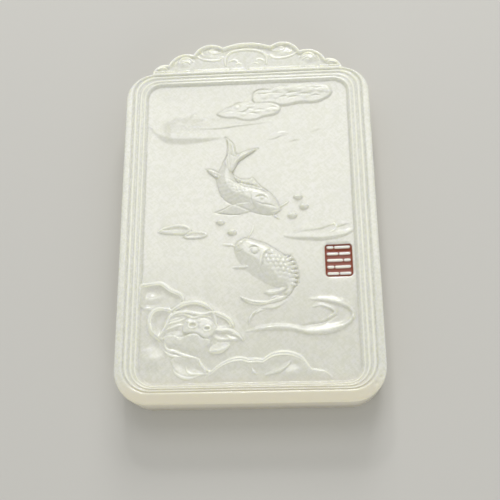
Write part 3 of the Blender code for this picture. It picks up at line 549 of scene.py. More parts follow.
# Fine cuts in the clouds: their points, half width and depth, and the share of that depth along each.
CUT_DEPTHS = np.array([0.2, 0.7, 0.7, 0.2])
CLOUD_CUTS = (
    (((1.0, 46.9), (0.85, 47.7), (1.25, 48.35), (2.0, 48.65), (3.0, 48.65), (3.9, 48.5)), 0.24, 0.2),
    (((1.3, 47.9), (2.6, 47.85), (4.0, 48.0), (5.6, 47.85)), 0.2, 0.1),
    (((5.1, 47.1), (5.7, 47.35), (6.3, 47.25)), 0.2, 0.16),
    (((6.4, 46.9), (6.9, 47.15), (8.2, 47.3)), 0.2, 0.16),
    (((6.2, 47.75), (6.9, 48.0), (7.7, 47.95)), 0.24, 0.2),
    (((8.1, 47.6), (9.0, 47.7), (9.9, 47.55)), 0.24, 0.18),
    (((7.9, 48.75), (8.6, 48.9), (9.3, 48.8)), 0.2, 0.13),
    (((5.4, 49.0), (6.0, 49.15), (6.5, 49.1)), 0.2, 0.13),
    (((9.8, 48.7), (11.0, 48.6), (12.0, 48.7), (12.8, 48.4)), 0.2, 0.15),
    (((10.0, 47.2), (10.8, 47.35), (11.4, 47.2)), 0.2, 0.12),
    (((-3.9, 45.5), (-3.0, 45.8), (-2.3, 46.05), (-1.9, 46.4), (-0.9, 46.6), (0.2, 46.6)), 0.2, 0.13),
    (((-2.2, 45.5), (-2.1, 46.0), (-1.6, 46.2), (-1.1, 45.9), (-1.2, 45.5)), 0.16, 0.1),
    (((-1.4, 44.8), (-0.5, 44.9), (0.0, 45.2), (0.2, 45.45), (0.9, 45.35)), 0.22, 0.18),
    (((-0.1, 46.0), (0.6, 46.15), (1.2, 46.1)), 0.24, 0.16),
    (((0.3, 44.6), (0.9, 44.65), (1.5, 44.45)), 0.18, 0.14),
    (((1.2, 45.15), (2.0, 45.2), (2.7, 45.1)), 0.2, 0.12),
    (((3.4, 45.4), (4.0, 45.6), (4.7, 45.4)), 0.2, 0.13),
    (((-3.6, 44.9), (-2.8, 45.05), (-2.0, 44.9)), 0.2, 0.1),
)
# Soft puffs on the clouds: their middle and radius.
PUFF_RISE = 0.07
CLOUD_PUFFS = (
    (2.0, 48.2, 0.9), (4.6, 48.5, 0.8), (6.3, 48.6, 0.8), (8.1, 48.4, 0.8), (10.1, 48.2, 0.9),
    (11.6, 48.1, 0.9), (12.7, 47.9, 0.6), (2.8, 47.3, 0.9), (4.4, 47.2, 0.7), (6.9, 47.5, 0.6),
    (9.2, 47.1, 0.8), (-3.6, 45.2, 0.7), (-1.6, 45.6, 0.6), (-0.6, 44.4, 0.7), (1.7, 44.8, 0.7),
    (0.9, 45.8, 0.7), (3.4, 45.0, 0.7), (4.4, 45.0, 0.6),
)
# Two small curls beside the clouds, each on a puff.
CLOUD_CURLS = ((-8.3, 44.5), (-6.6, 43.8))
# Drifting streaks: their points, half widths above and below, and rises. They stand this share of those
# rises high.
STREAK_SHARE = 0.74
STREAKS = (
    (((-10.6, 43.5), (-9.6, 43.15), (-8.4, 42.75), (-7.0, 42.45), (-5.0, 42.35), (-3.0, 42.5), (-1.0, 42.7),
      (3.2, 43.0)), (1.2, 2.5, 2.6, 2.4, 2.0, 1.2), (0.5, 0.55, 0.4, 0.28, 0.2, 0.1),
     (0.05, 0.14, 0.14, 0.12, 0.08, 0.02)),
    (((-14.4, 42.2), (-13.0, 41.4), (-11.6, 41.05), (-9.8, 40.9), (-7.4, 40.85), (-3.6, 40.8)),
     (2.2, 3.7, 3.7, 2.8, 1.6), (0.8, 1.5, 1.4, 1.0, 0.5), (0.12, 0.34, 0.3, 0.18, 0.04)),
    (((-13.2, 42.3), (-12.3, 41.6), (-11.4, 41.25), (-10.0, 41.1), (-8.4, 41.05)), (0.2, 0.8, 0.8, 0.2),
     (0.06, 0.14, 0.14, 0.06), (0.01, 0.04, 0.03, 0.01)),
    (((-12.6, 42.9), (-11.4, 42.2), (-9.6, 41.85), (-7.6, 41.75), (-3.8, 41.85)), (0.3, 1.0, 1.1, 0.9, 0.3),
     (0.1, 0.3, 0.3, 0.2, 0.1), (0.01, 0.045, 0.045, 0.035, 0.01)),
    (((-6.2, 43.55), (-3.0, 43.1), (1.0, 43.15), (5.0, 43.1)), (0.4, 1.1, 1.1, 0.4), (0.1, 0.3, 0.2, 0.1),
     (0.01, 0.04, 0.03, 0.0)),
    (((3.2, 40.1), (4.2, 40.3), (5.2, 40.75), (6.2, 40.8)), (0.5, 1.0, 0.5), (0.2, 0.3, 0.2),
     (0.02, 0.1, 0.02)),
    (((4.6, 41.0), (5.6, 41.1), (6.4, 41.0)), (0.2, 0.4, 0.2), (0.1, 0.2, 0.1), (0.02, 0.08, 0.02)),
    (((6.4, 39.6), (7.3, 39.9), (8.2, 39.9)), (0.3, 0.6, 0.3), (0.2, 0.3, 0.2), (0.02, 0.1, 0.02)),
    (((9.8, 41.1), (10.6, 41.5), (11.4, 41.6)), (0.3, 0.6, 0.3), (0.2, 0.3, 0.2), (0.02, 0.09, 0.02)),
)


def carve_sky(face):
    """Two banks of cloud with puffs and fine cuts, and the drifting streaks beside them."""
    for points, left, right, rises in STREAKS:
        ridge(face, curve(points), left, STREAK_SHARE * np.array(rises), right)
    for centre in CLOUD_CURLS:
        ridge(face, curl(centre, 0.6, 200, -320), (0.1, 0.24, 0.12), (-0.02, -0.05, -0.02))
        pit(face, centre, (0.8, 0.5), -0.08)
    for outline, rise in CLOUD_BANKS:
        lay(face, curve(outline, True), rise, edge=0.14, skirt=0.3, brow=0.6)
    for x, y, radius in CLOUD_PUFFS:
        pit(face, (x, y), (radius, 0.6 * radius), -PUFF_RISE)
    for points, width, depth in CLOUD_CUTS:
        ridge(face, curve(points), width * STROKE_WIDTHS, -depth * CUT_DEPTHS)


# The carp. A body is its outline, its spine from the nose to the tail, and its half widths along it.
CARP_HIGH = dict(
    outline=(
        (4.9, 28.3), (4.5, 29.3), (4.1, 30.2), (3.5, 30.9), (2.7, 31.5), (1.8, 31.95), (0.9, 32.3),
        (-0.2, 32.65), (-1.3, 33.0), (-2.0, 33.7), (-2.3, 34.6), (-2.3, 35.6), (-2.1, 36.6), (-2.2, 37.3),
        (-2.9, 37.6), (-3.4, 37.0), (-3.8, 36.0), (-4.3, 35.0), (-4.7, 33.6), (-4.5, 32.2), (-4.0, 30.9),
        (-3.2, 30.0), (-2.2, 29.4), (-0.8, 28.8), (0.8, 28.1), (2.2, 27.7), (3.6, 27.6),
    ),
    spine=(
        (4.8, 28.3), (3.5, 29.2), (1.8, 30.0), (-0.2, 30.7), (-2.0, 31.7), (-3.2, 33.4), (-3.2, 35.2),
        (-2.7, 37.4),
    ),
    widths=(0.35, 1.2, 1.8, 2.0, 1.9, 1.4, 0.95, 0.5),
    back=-1,
)
CARP_LOW = dict(
    outline=(
        (-2.0, 22.3), (-1.7, 23.2), (-1.1, 23.75), (-0.3, 23.95), (0.6, 23.75), (1.6, 23.35), (2.6, 23.0),
        (3.5, 22.4), (4.4, 21.8), (5.2, 21.2), (5.9, 20.4), (6.4, 19.4), (6.6, 18.3), (6.6, 17.3),
        (6.5, 16.4), (6.2, 15.6), (5.7, 15.1), (5.1, 15.4), (5.3, 16.0), (4.4, 16.3), (3.4, 16.6),
        (2.4, 17.1), (1.4, 17.7), (0.4, 18.4), (-0.5, 19.2), (-1.1, 20.0), (-1.6, 20.8), (-1.95, 21.6),
    ),
    spine=(
        (-1.9, 22.5), (-0.6, 22.0), (1.0, 21.0), (3.0, 19.8), (5.0, 18.5), (6.0, 17.3), (6.1, 16.2),
        (5.6, 15.2),
    ),
    widths=(0.5, 1.7, 2.4, 2.5, 2.1, 1.2, 0.8, 0.4),
    back=1,
)
BODY_RISE = 0.56
# How the body's height changes from the nose to the tail.
BODY_SWELL = (0.6, 0.9, 1.0, 1.0, 0.95, 0.8, 0.6, 0.5)
BELLY_POWER = 1.1
BACK_POWER = 3.2
FIN_EDGE = 0.14
FIN_RAY = 0.05
# The spacing of the upper carp's ribs and scales, and of the lower carp's scales.
FINE_PITCH = 0.62
SCALE_PITCH = 0.78
# The last cut round a figure, which sets it off from the ground; being fine, it also gets painted shade.
SEAT_WIDTH = 0.22
SEAT_DEPTH = 0.09


def seat(face, outline):
    """Cuts a fine line along a figure's outline."""
    ridge(face, outline, SEAT_WIDTH, -SEAT_DEPTH)


def carve_body(face, outline, spine, widths, back, seated=None):
    """A rounded body: over the ground it is BODY_RISE (1 - (1 - u)^n), where u is the depth inside its
    outline as a share of its half width there, and n is larger on its full back, on one side of the spine,
    than on its slanting belly. It returns the points' numbers, places along and beside the spine, and u.
    """
    shape, line = curve(outline, True), curve(spine)
    seat(face, curve(outline[:seated]) if seated else shape)
    spots = face.within(shape)
    points = face.at[spots]
    depth = follow(points, shape)[0]
    far, along, _, side = follow(points, line)
    share = np.clip(depth / spread(widths, along), 0, 1)
    swell = spread(BODY_SWELL, along)
    power = BELLY_POWER + (BACK_POWER - BELLY_POWER) * ease(0.5 + back * side * far)
    target = face.ground[spots] + BODY_RISE * swell * (1 - (1 - share) ** power)
    face.height[spots] = np.maximum(face.height[spots], target)
    face.edge[spots] *= 1 - ease((share - 0.05) / 0.2)
    spine_length = np.hypot(*np.diff(line, axis=0).T).sum()
    return spots, along * spine_length, side * far, share


def carve_fin(face, outline, rise, pivot, rays, corners):
    """A thin fin with rays that fan out from a pivot: rise + FIN_RAY cos(rays times the angle)."""
    def top(depth, points):
        """The fin's height over the ground, its rays fading out at its edge."""
        away = points - np.array(pivot)
        ribs = np.cos(rays * np.arctan2(away[:, 1], away[:, 0])) * ease(depth / 0.25)
        return rise + FIN_RAY * ribs

    shape = curve(outline, True, corners)
    seat(face, shape)
    lay(face, shape, top, FIN_EDGE)


def scale_pattern(along, beside, pitch):
    """Rows of small round scales, each row half a pitch on from the last: one in a scale's middle and
    falling as 1 - (2 r / pitch)^2 to zero at its rim."""
    row = np.floor(along / (0.8 * pitch))
    u = along - (row + 0.5) * 0.8 * pitch
    shift = beside + 0.5 * pitch * (row % 2)
    v = shift - (np.floor(shift / pitch) + 0.5) * pitch
    return np.clip(1 - (u**2 + v**2) / (0.5 * pitch) ** 2, 0, 1)


# The upper carp's tail, back fin and rear fin: the outline, the height, the rays' pivot and number, and the
# outline's corners.
CARP_HIGH_FINS = (
    (((-3.5, 36.2), (-3.15, 37.4), (-3.0, 38.6), (-3.05, 39.6), (-3.4, 40.6), (-2.6, 39.9), (-2.1, 39.2),
      (-1.95, 38.3), (-1.7, 37.6), (-0.9, 37.85), (0.1, 38.25), (1.6, 38.55), (0.5, 37.8), (-0.5, 37.1),
      (-1.4, 36.4), (-1.9, 35.4), (-2.6, 34.6)), 0.4, (-2.5, 33.4), 26, (4, 8, 11)),
    (((-2.4, 34.3), (-1.6, 33.75), (-0.8, 33.4), (0.2, 33.4), (0.7, 33.7), (1.15, 33.2), (1.8, 32.3),
      (2.9, 31.4), (1.2, 31.6), (-1.0, 32.3)), 0.4, (-1.2, 29.5), 34, (4,)),
    (((-6.4, 35.3), (-5.6, 35.25), (-4.7, 34.8), (-4.1, 34.3), (-4.4, 33.7), (-5.2, 34.1), (-5.9, 34.7)),
     0.3, (-3.0, 33.6), 26, (0,)),
)
CARP_HIGH_BELLY_FIN = (
    (-4.9, 28.2), (-3.8, 28.55), (-2.8, 29.1), (-1.6, 29.5), (0.2, 29.6), (1.0, 28.8), (0.2, 28.2),
    (-1.4, 27.8), (-3.0, 27.85),
)
CARP_HIGH_STROKES = (
    (((-3.2, 33.6), (-2.0, 33.1), (-0.7, 32.65), (0.4, 32.45), (1.4, 32.15), (2.2, 31.8)), 0.18, -0.14),
    (((1.3, 31.7), (0.5, 30.9), (0.6, 29.7), (1.1, 28.8)), 0.2, -0.05),
    (((1.2, 30.25), (1.8, 30.55), (2.4, 30.5), (2.95, 30.05)), 0.24, -0.22),
    (((1.3, 29.6), (2.2, 29.2), (3.2, 29.05), (4.5, 28.6)), 0.18, -0.15),
    (((3.3, 27.9), (4.1, 28.1), (4.8, 28.3)), 0.16, 0.08),
    (((-2.6, 37.4), (-2.5, 38.4), (-2.7, 39.4)), 0.26, -0.12),
    (((-2.3, 37.2), (-1.8, 37.3), (-1.1, 37.6)), 0.28, -0.14),
    (((-2.3, 35.6), (-1.7, 36.6), (-0.7, 37.4), (0.8, 38.1)), 0.14, 0.07),
    (((4.7, 28.8), (5.2, 29.1), (5.6, 29.3), (6.1, 29.7)), 0.18, 0.2),
    (((3.6, 27.8), (3.9, 27.5), (4.3, 27.2), (4.7, 26.9)), 0.18, 0.2),
)


def carve_carp_high(face):
    """The upper carp, diving to the lower right with its forked tail up. One side of its spine is ribbed
    and the other has small scales."""
    for fin in CARP_HIGH_FINS:
        carve_fin(face, *fin)
    belly_fin = CARP_HIGH_BELLY_FIN
    seat(face, curve(belly_fin[-2:] + belly_fin[:3], corners=(2,)))
    lay(face, curve(belly_fin, True, (0,)), lambda d, p: 0.07 + 0.18 * np.maximum(p[:, 1] - 27.9, 0), 0.12)
    spots, along, beside, share = carve_body(face, **CARP_HIGH)
    inner = ease(share / 0.25) * ease((along - 5.2) / 0.9) * ease((10.2 - along) / 0.9)
    ribs = 0.5 + 0.5 * np.cos(2 * np.pi * (along - 0.5 * np.abs(beside)) / FINE_PITCH)
    scales = scale_pattern(along, beside, FINE_PITCH)
    face.height[spots] += 0.035 * ribs * inner * ease((beside + 0.3) / 0.5)
    face.height[spots] += 0.075 * scales * inner * ease((0.2 - beside) / 0.4)
    strokes(face, CARP_HIGH_STROKES)
    pit(face, (2.15, 30.15), (0.4, 0.22), -0.12)


# How many points the comb's edge has for each tooth.
TOOTH_STEPS = 12


def comb_fin(face, edge, teeth, low, high, rise):
    """A fin with teeth along an edge: its reach out from the edge swings between low and high with each
    tooth, as low + (high - low) |sin(pi teeth s)| at the share s of the edge, with a cut between teeth."""
    steps = TOOTH_STEPS * teeth
    share = np.linspace(0, 1, steps + 1)
    places = even_points(edge, steps + 1)
    out = left_of(places)
    wave = np.abs(np.sin(np.pi * teeth * share))
    reach = (low + (high - low) * wave) * ease(share / 0.15) * (0.6 + 0.4 * ease((1 - share) / 0.3))
    shape = np.concatenate([places + out * reach[:, None], (places - 0.6 * out)[::-1]])
    shape = np.concatenate([shape, shape[:1]])
    seat(face, shape)
    lay(face, shape, rise, 0.2)
    for place in np.linspace(0, 1, teeth + 1)[1:-1]:
        spot = int(place * steps)
        ridge(face, np.array([places[spot] - 0.3 * out[spot], places[spot] + 0.7 * out[spot]]), 0.18, -0.14)


LOW_TAIL_HIGH = (
    (6.0, 15.6), (5.2, 15.1), (4.2, 14.95), (3.4, 14.6), (2.4, 14.35), (0.9, 14.45), (-0.3, 14.85),
    (-1.4, 15.3), (-0.9, 14.5), (0.2, 14.0), (1.4, 13.85), (2.6, 13.85), (4.0, 14.1), (5.2, 14.6),
)
LOW_TAIL_LOW = (
    (5.8, 14.9), (5.4, 14.2), (4.6, 13.5), (3.4, 13.05), (2.4, 13.1), (1.5, 12.85), (0.8, 12.35),
    (0.3, 11.6), (0.0, 10.7), (-0.1, 11.7), (0.4, 12.7), (1.3, 13.25), (2.2, 13.7), (3.4, 14.2),
    (4.8, 14.8),
)
LOW_BELLY_FIN = (
    (2.0, 15.6), (2.8, 16.0), (3.8, 16.1), (4.8, 16.5), (5.6, 16.2), (5.0, 15.6), (3.9, 15.25), (2.8, 15.2),
)
LOW_BREAST_FIN = (
    (-2.7, 19.5), (-1.8, 19.85), (-0.9, 20.05), (-0.2, 20.0), (0.0, 19.5), (-0.6, 19.25), (-1.6, 19.25),
)
LOW_TAIL_STROKES = (
    (((-1.2, 15.1), (-0.2, 14.65), (0.9, 14.35), (2.3, 14.25), (3.3, 14.5), (4.1, 14.95)), 0.24, 0.1),
    (((-0.8, 14.55), (0.3, 14.1), (1.4, 13.95), (2.6, 13.95)), 0.16, 0.1),
)
CARP_LOW_STROKES = (
    (((3.5, 22.2), (2.5, 21.5), (2.2, 20.8), (2.0, 19.8), (1.4, 18.8)), 0.2, -0.14),
    (((3.1, 22.4), (2.2, 21.6), (1.9, 20.8), (1.7, 19.8)), 0.22, 0.1),
    (((2.2, 21.6), (2.7, 21.55), (3.2, 21.3), (3.9, 21.5)), 0.2, -0.14),
    (((0.2, 22.35), (0.7, 22.6), (1.1, 22.55), (1.6, 22.3)), 0.2, -0.24),
    (((-1.8, 22.4), (-1.3, 22.8), (-0.6, 23.4)), 0.16, -0.12),
    (((-1.9, 21.9), (-1.3, 21.9), (-0.7, 22.2)), 0.16, -0.1),
    (((-1.3, 23.2), (-0.8, 23.5), (-0.2, 23.5)), 0.2, -0.1),
    (((-1.8, 22.7), (-2.4, 23.0), (-3.0, 23.05), (-3.8, 23.1)), 0.18, 0.22),
    (((-0.3, 23.8), (0.2, 24.5), (0.6, 25.2), (0.75, 26.0)), 0.16, 0.12),
    (((-0.7, 14.75), (0.6, 14.2), (1.6, 14.1), (2.8, 14.15)), 0.14, -0.1),
    (((3.0, 14.5), (3.5, 14.9), (4.3, 15.1)), 0.18, 0.12),
    (((0.9, 12.6), (1.6, 13.0), (2.3, 13.1)), 0.16, 0.12),
)


def sloping(high, fall, foot):
    """A top for lay that is high at the foot line and falls by so much with each mm over it."""
    return lambda depth, points: high - fall * (points[:, 1] - foot)


def carve_carp_low(face):
    """The lower carp, curled round with its head to the upper left and a comb of a fin along its back."""
    lay(face, curve(LOW_TAIL_LOW, True, (8,)), sloping(0.36, 0.13, 11.6), FIN_EDGE, 0.2)
    lay(face, curve(LOW_TAIL_HIGH, True, (7,)), lambda d, p: 0.2 + 0.1 * ease(d / 0.2), FIN_EDGE, 0.2)
    strokes(face, LOW_TAIL_STROKES)
    comb_fin(face, curve(CARP_LOW["outline"][9:15]), 8, 0.25, 0.7, 0.34)
    spots, along, beside, share = carve_body(face, **CARP_LOW, seated=17)
    scales = scale_pattern(along, beside, SCALE_PITCH)
    where = ease((along - 4.2) / 0.5) * ease((share - 0.05) / 0.2)
    face.height[spots] += (0.03 + 0.1 * ease((beside + 0.3) / 0.8)) * (scales - 0.35) * where
    lay(face, curve(LOW_BELLY_FIN, True, (0,)), sloping(0.34, 0.18, 15.2), FIN_EDGE, 0.3, 0.1)
    lay(face, curve(LOW_BREAST_FIN, True, (0,)), sloping(0.3, 0.16, 19.1), FIN_EDGE, 0.2, 0.2)
    stroke(face, ((-2.4, 19.5), (-1.6, 19.75), (-0.8, 19.75), (-0.1, 19.7)), 0.16, -0.09)
    pit(face, (0.95, 21.95), (1.05, 0.8), -0.1)
    strokes(face, CARP_LOW_STROKES)
    ridge(face, curve(oval((0.95, 21.85), (0.6, 0.45), 8)[:-1], True), 0.18, -0.12)
    pit(face, (5.9, 15.7), (0.4, 0.3), -0.16)


# The water: the bubbles' middles and radii.
BUBBLES = (
    ((7.5, 30.3), 0.72),
    ((8.35, 28.75), 0.74),
    ((6.6, 27.35), 0.76),
    ((-4.1, 26.6), 0.7),
    ((-2.4, 24.95), 0.74),
)
BUBBLE_RISE = 0.5
LEAF_NEAR = (
    (-13.4, 25.4), (-12.8, 25.85), (-12.0, 26.15), (-11.0, 26.35), (-10.0, 26.35), (-9.2, 26.15),
    (-8.7, 25.8), (-8.6, 25.35), (-9.2, 25.05), (-10.0, 24.95), (-12.0, 25.1),
)
LEAF_FAR = (
    (-9.8, 24.4), (-9.2, 24.9), (-8.6, 25.25), (-7.5, 25.3), (-6.8, 25.2), (-6.2, 25.0), (-6.0, 24.6),
    (-6.4, 24.3), (-7.4, 24.1), (-9.0, 24.1),
)
SWELL = (
    (-5.7, 4.35), (-5.2, 4.6), (-4.6, 5.15), (-3.6, 5.8), (-2.6, 6.2), (-1.8, 6.35), (-0.9, 6.35),
    (0.0, 6.1), (1.0, 6.15), (1.9, 6.05), (2.5, 6.45), (3.2, 6.85), (4.1, 7.05), (5.0, 7.1), (6.0, 6.95),
    (6.9, 6.6), (7.5, 6.2), (8.0, 5.5), (8.5, 4.8), (8.8, 4.5), (9.8, 4.35), (10.7, 4.1), (11.5, 3.4),
)
SWELL_FOOT = ((11.9, 0.5), (-7.5, 0.5))
# The swell's sharp turns, and those of them that its upper edge has.
SWELL_CORNERS = (0, 9, 19, 22, 23, 24)
EDGE_CORNERS = (9, 19)
# How many of the edge's points at its right end the second line leaves out.
EDGE_LEFT_OUT = 24
# Waves: their points, half widths on the left and on the right of the line, and rises.
WAVES = (
    (((5.5, 24.2), (7.0, 24.0), (9.0, 23.9), (11.0, 23.8), (13.0, 24.0), (14.4, 24.3), (15.2, 24.7)),
     (0.5, 1.9, 2.2, 1.6, 0.7), (0.3, 0.5, 0.5, 0.4, 0.3), (0.05, 0.19, 0.25, 0.25, 0.12)),
    (((7.0, 24.7), (8.4, 25.05), (10.0, 25.2), (11.4, 25.5), (12.4, 26.0)), (0.5, 1.2, 1.3, 0.7),
     (0.2, 0.4, 0.3, 0.2), (0.03, 0.13, 0.15, 0.05)),
    (((12.0, 24.6), (12.6, 24.9), (13.0, 25.4), (12.7, 25.95), (12.2, 25.7)), (0.12, 0.24, 0.12),
     (0.12, 0.24, 0.12), (0.05, 0.15, 0.06)),
    (((13.1, 25.4), (13.9, 25.7), (14.8, 25.9)), (0.3, 0.8, 0.3), (0.1, 0.26, 0.12), (0.04, 0.12, 0.03)),
    (((-0.2, 10.0), (1.0, 10.3), (2.5, 10.5), (4.0, 10.6), (5.6, 10.5), (7.2, 10.1), (8.6, 9.75),
      (10.2, 9.75), (11.8, 10.0), (13.2, 10.5), (14.2, 11.1), (14.7, 11.8)),
     (0.2, 0.5, 0.55, 0.55, 0.7, 1.2, 1.3, 0.8, 0.4), (0.2, 0.5, 0.7, 0.7, 0.5, 0.45, 0.5, 0.5, 0.3),
     (0.05, 0.22, 0.26, 0.24, 0.28, 0.36, 0.4, 0.34, 0.22)),
    (((14.75, 11.6), (14.75, 12.4), (14.2, 13.2), (13.2, 13.75), (12.0, 14.1), (10.6, 14.35), (9.0, 14.5)),
     (0.3, 0.3, 0.4, 0.4, 0.3, 0.2), (0.3, 0.6, 0.9, 1.0, 0.8, 0.4), (0.2, 0.3, 0.34, 0.3, 0.2, 0.04)),
    (((9.2, 13.4), (10.3, 13.6), (11.2, 13.3), (12.0, 12.9), (12.2, 12.4), (11.6, 12.0), (11.0, 11.6),
      (10.3, 11.2)), (0.2, 0.5, 0.6, 0.4, 0.2), (0.2, 0.3, 0.3, 0.3, 0.2), (0.05, 0.2, 0.3, 0.26, 0.05)),
    (((7.4, 10.6), (8.8, 10.8), (10.3, 11.0), (11.3, 11.5), (12.4, 12.0)), (0.3, 0.4, 0.4, 0.2),
     (0.3, 0.4, 0.4, 0.2), (-0.04, -0.14, -0.16, -0.05)),
)


def carve_water(face):
    """Bubbles, the floating leaf pair, the low wave by the seal, the curling wave and the long swell."""
    for centre, radius in BUBBLES:
        ring = oval(centre, (radius, 0.75 * radius), 8)[:-1]
        lay(face, curve(ring, True), BUBBLE_RISE, edge=0.2, skirt=0.55, brow=0.2)
    lay(face, curve(LEAF_FAR, True, (0,)), lambda d, p: 0.26 - 0.14 * ease(d / 0.5), 0.14, 0.1)
    near = curve(LEAF_NEAR, True, (0,))
    lay(face, near, lambda d, p: 0.3 - 0.2 * ease((d - 0.1) / 0.5), 0.12)
    ridge(face, near, 0.15, 0.1)
    for points, left, right, rises in WAVES:
        ridge(face, curve(points), left, rises, right)

    def swell_top(depth, points):
        """The swell's height: a rounded upper edge, hollow behind it and sinking away to the foot."""
        return (0.2 - 0.18 * ease((depth - 0.4) / 1.4)) * ease((points[:, 1] - 2.7) / 2.2)

    lay(face, curve(SWELL + SWELL_FOOT, True, SWELL_CORNERS), swell_top, 0.12)
    edge = curve(SWELL, corners=EDGE_CORNERS)
    ridge(face, edge - (0, 0.05), (0.12, 0.22, 0.22, 0.22, 0.12), (0.04, 0.1, 0.1, 0.1, 0.04))
    second = edge[:-EDGE_LEFT_OUT] - (0, 0.5)
    ridge(face, second, (0.1, 0.15, 0.15, 0.15, 0.1), (0.03, 0.09, 0.09, 0.09, 0.03))
    fold = curve(((2.4, 3.8), (3.6, 4.1), (4.7, 4.6), (5.6, 5.3)))
    ridge(face, fold, (0.2, 0.6, 0.5), (0.06, 0.3, 0.16), (0.08, 0.3, 0.2))
    pit(face, (6.0, 4.2), (2.2, 1.2), -0.16, 10)
    ridge(face, curve(((0.45, 4.7), (0.65, 4.3), (1.0, 4.0))), (0.1, 0.3, 0.1), (0.1, 0.26, 0.1))


# The lotus. A petal's rim has a half width and a rise, and so has the finer line inside it.
PETAL_EDGE = 0.13
RIM_WIDTH = 0.3
RIM_RISE = 0.12
RIM_INSET = 0.08
DOUBLE_WIDTH = 0.15
DOUBLE_RISE = 0.08
RIM_ENDS = np.array([0.5, 1.0, 1.0, 1.0, 0.5])
# The lotus's lines are cut this much wider and lower than its table says.
LINE_WIDEN = 1.25
LINE_SHARE = 0.55


def petal(face, outline, rise, rim, hollow, spread_in, double=0.0, tilt=0.0, skirt=0.5):
    """A petal or leaf: over the ground its top is rise - hollow ease(depth / spread_in) - tilt times the
    height over its lowest point. A raised rim runs along so many of the outline's first sides, with a finer
    line inside at the distance double."""
    shape = curve(outline, True)
    lowest = shape[:, 1].min()

    def top(depth, points):
        """The petal's height over the ground."""
        return rise - hollow * ease((depth - 0.1) / spread_in) - tilt * (points[:, 1] - lowest)

    lay(face, shape, top, PETAL_EDGE, skirt)
    if not rim:
        return
    line = curve(outline[:rim + 1])
    inward = -left_of(line)
    ridge(face, line + RIM_INSET * inward, RIM_WIDTH * RIM_ENDS, RIM_RISE * RIM_ENDS)
    if double:
        ridge(face, line + double * inward, DOUBLE_WIDTH * RIM_ENDS, DOUBLE_RISE * RIM_ENDS)


FLOWER = (
    (-15.2, 11.5), (-14.6, 14.0), (-12.0, 14.6), (-8.0, 15.6), (-5.0, 14.2), (-1.8, 12.0), (-0.3, 9.0),
    (-2.0, 7.6), (-5.0, 6.0), (-8.0, 5.4), (-11.5, 6.2), (-13.6, 8.0),
)
LEAF_BACK = (
    (-15.7, 17.2), (-14.8, 17.4), (-13.5, 17.6), (-12.6, 17.5), (-11.9, 17.05), (-11.2, 16.5),
    (-10.4, 16.15), (-9.8, 15.8), (-9.4, 15.3), (-9.4, 14.6), (-10.6, 13.6), (-13.0, 13.2), (-15.6, 13.6),
)
PETAL_LEFT = (
    (-12.6, 8.7), (-13.4, 9.3), (-14.1, 10.0), (-14.4, 10.9), (-14.5, 11.8), (-14.3, 12.7), (-13.8, 13.4),
    (-12.9, 13.75), (-12.0, 13.7), (-11.1, 13.4), (-11.0, 11.5), (-11.8, 9.6),
)
PETAL_TOP = (
    (-11.2, 13.3), (-10.5, 13.85), (-9.6, 14.35), (-8.6, 14.6), (-7.6, 14.6), (-6.7, 14.4), (-5.9, 14.0),
    (-5.3, 13.5), (-5.0, 12.9), (-8.0, 12.2), (-10.6, 12.6),
)
PETAL_RIGHT = (
    (-5.2, 13.0), (-4.4, 12.9), (-3.5, 12.5), (-2.8, 12.05), (-2.3, 11.4), (-2.05, 10.7), (-3.2, 10.2),
    (-5.0, 10.2), (-5.4, 11.6),
)
PETAL_LOW = (
    (-5.0, 10.4), (-4.0, 10.35), (-3.0, 10.4), (-2.1, 10.1), (-1.4, 9.6), (-0.8, 8.8), (-1.6, 8.5),
    (-2.8, 8.5), (-4.4, 8.6), (-5.4, 9.4),
)
PETAL_FRONT = (
    (-5.7, 7.1), (-5.5, 7.8), (-4.8, 8.3), (-3.8, 8.65), (-2.65, 8.6), (-2.75, 8.0), (-3.3, 7.4),
    (-4.2, 7.0), (-5.0, 6.95),
)
CUP = (
    (-12.8, 9.6), (-12.4, 10.4), (-12.0, 11.1), (-11.7, 11.8), (-11.3, 12.5), (-10.4, 13.0), (-9.2, 13.15),
    (-8.1, 13.0), (-7.2, 12.8), (-6.3, 12.8), (-5.4, 13.0), (-4.9, 12.7), (-4.5, 11.6), (-4.5, 10.4),
    (-5.0, 9.0), (-6.0, 8.0), (-9.0, 7.4), (-11.6, 8.0), (-12.6, 8.8),
)
BOWL = (
    (-12.2, 9.3), (-11.4, 9.7), (-10.6, 9.6), (-9.9, 9.35), (-9.2, 9.45), (-8.6, 9.8), (-7.8, 9.9),
    (-7.1, 9.6), (-6.5, 9.1), (-5.7, 9.0), (-5.4, 8.2), (-5.8, 7.3), (-6.6, 6.6), (-7.6, 6.3), (-9.0, 6.6),
    (-10.2, 7.1), (-11.3, 7.4), (-12.0, 8.2),
)
POD = (
    (-9.4, 9.9), (-9.4, 11.0), (-8.9, 11.9), (-7.8, 12.25), (-6.4, 12.1), (-5.2, 11.4), (-4.7, 10.4),
    (-5.2, 9.4), (-6.2, 8.9), (-7.2, 9.4), (-8.2, 9.7),
)
LEAF_FOOT = (
    (-6.0, 4.1), (-7.2, 3.65), (-8.4, 3.45), (-9.6, 3.65), (-10.4, 4.25), (-10.9, 5.1), (-11.0, 6.2),
    (-9.4, 6.8), (-7.2, 6.4), (-6.4, 5.2),
)
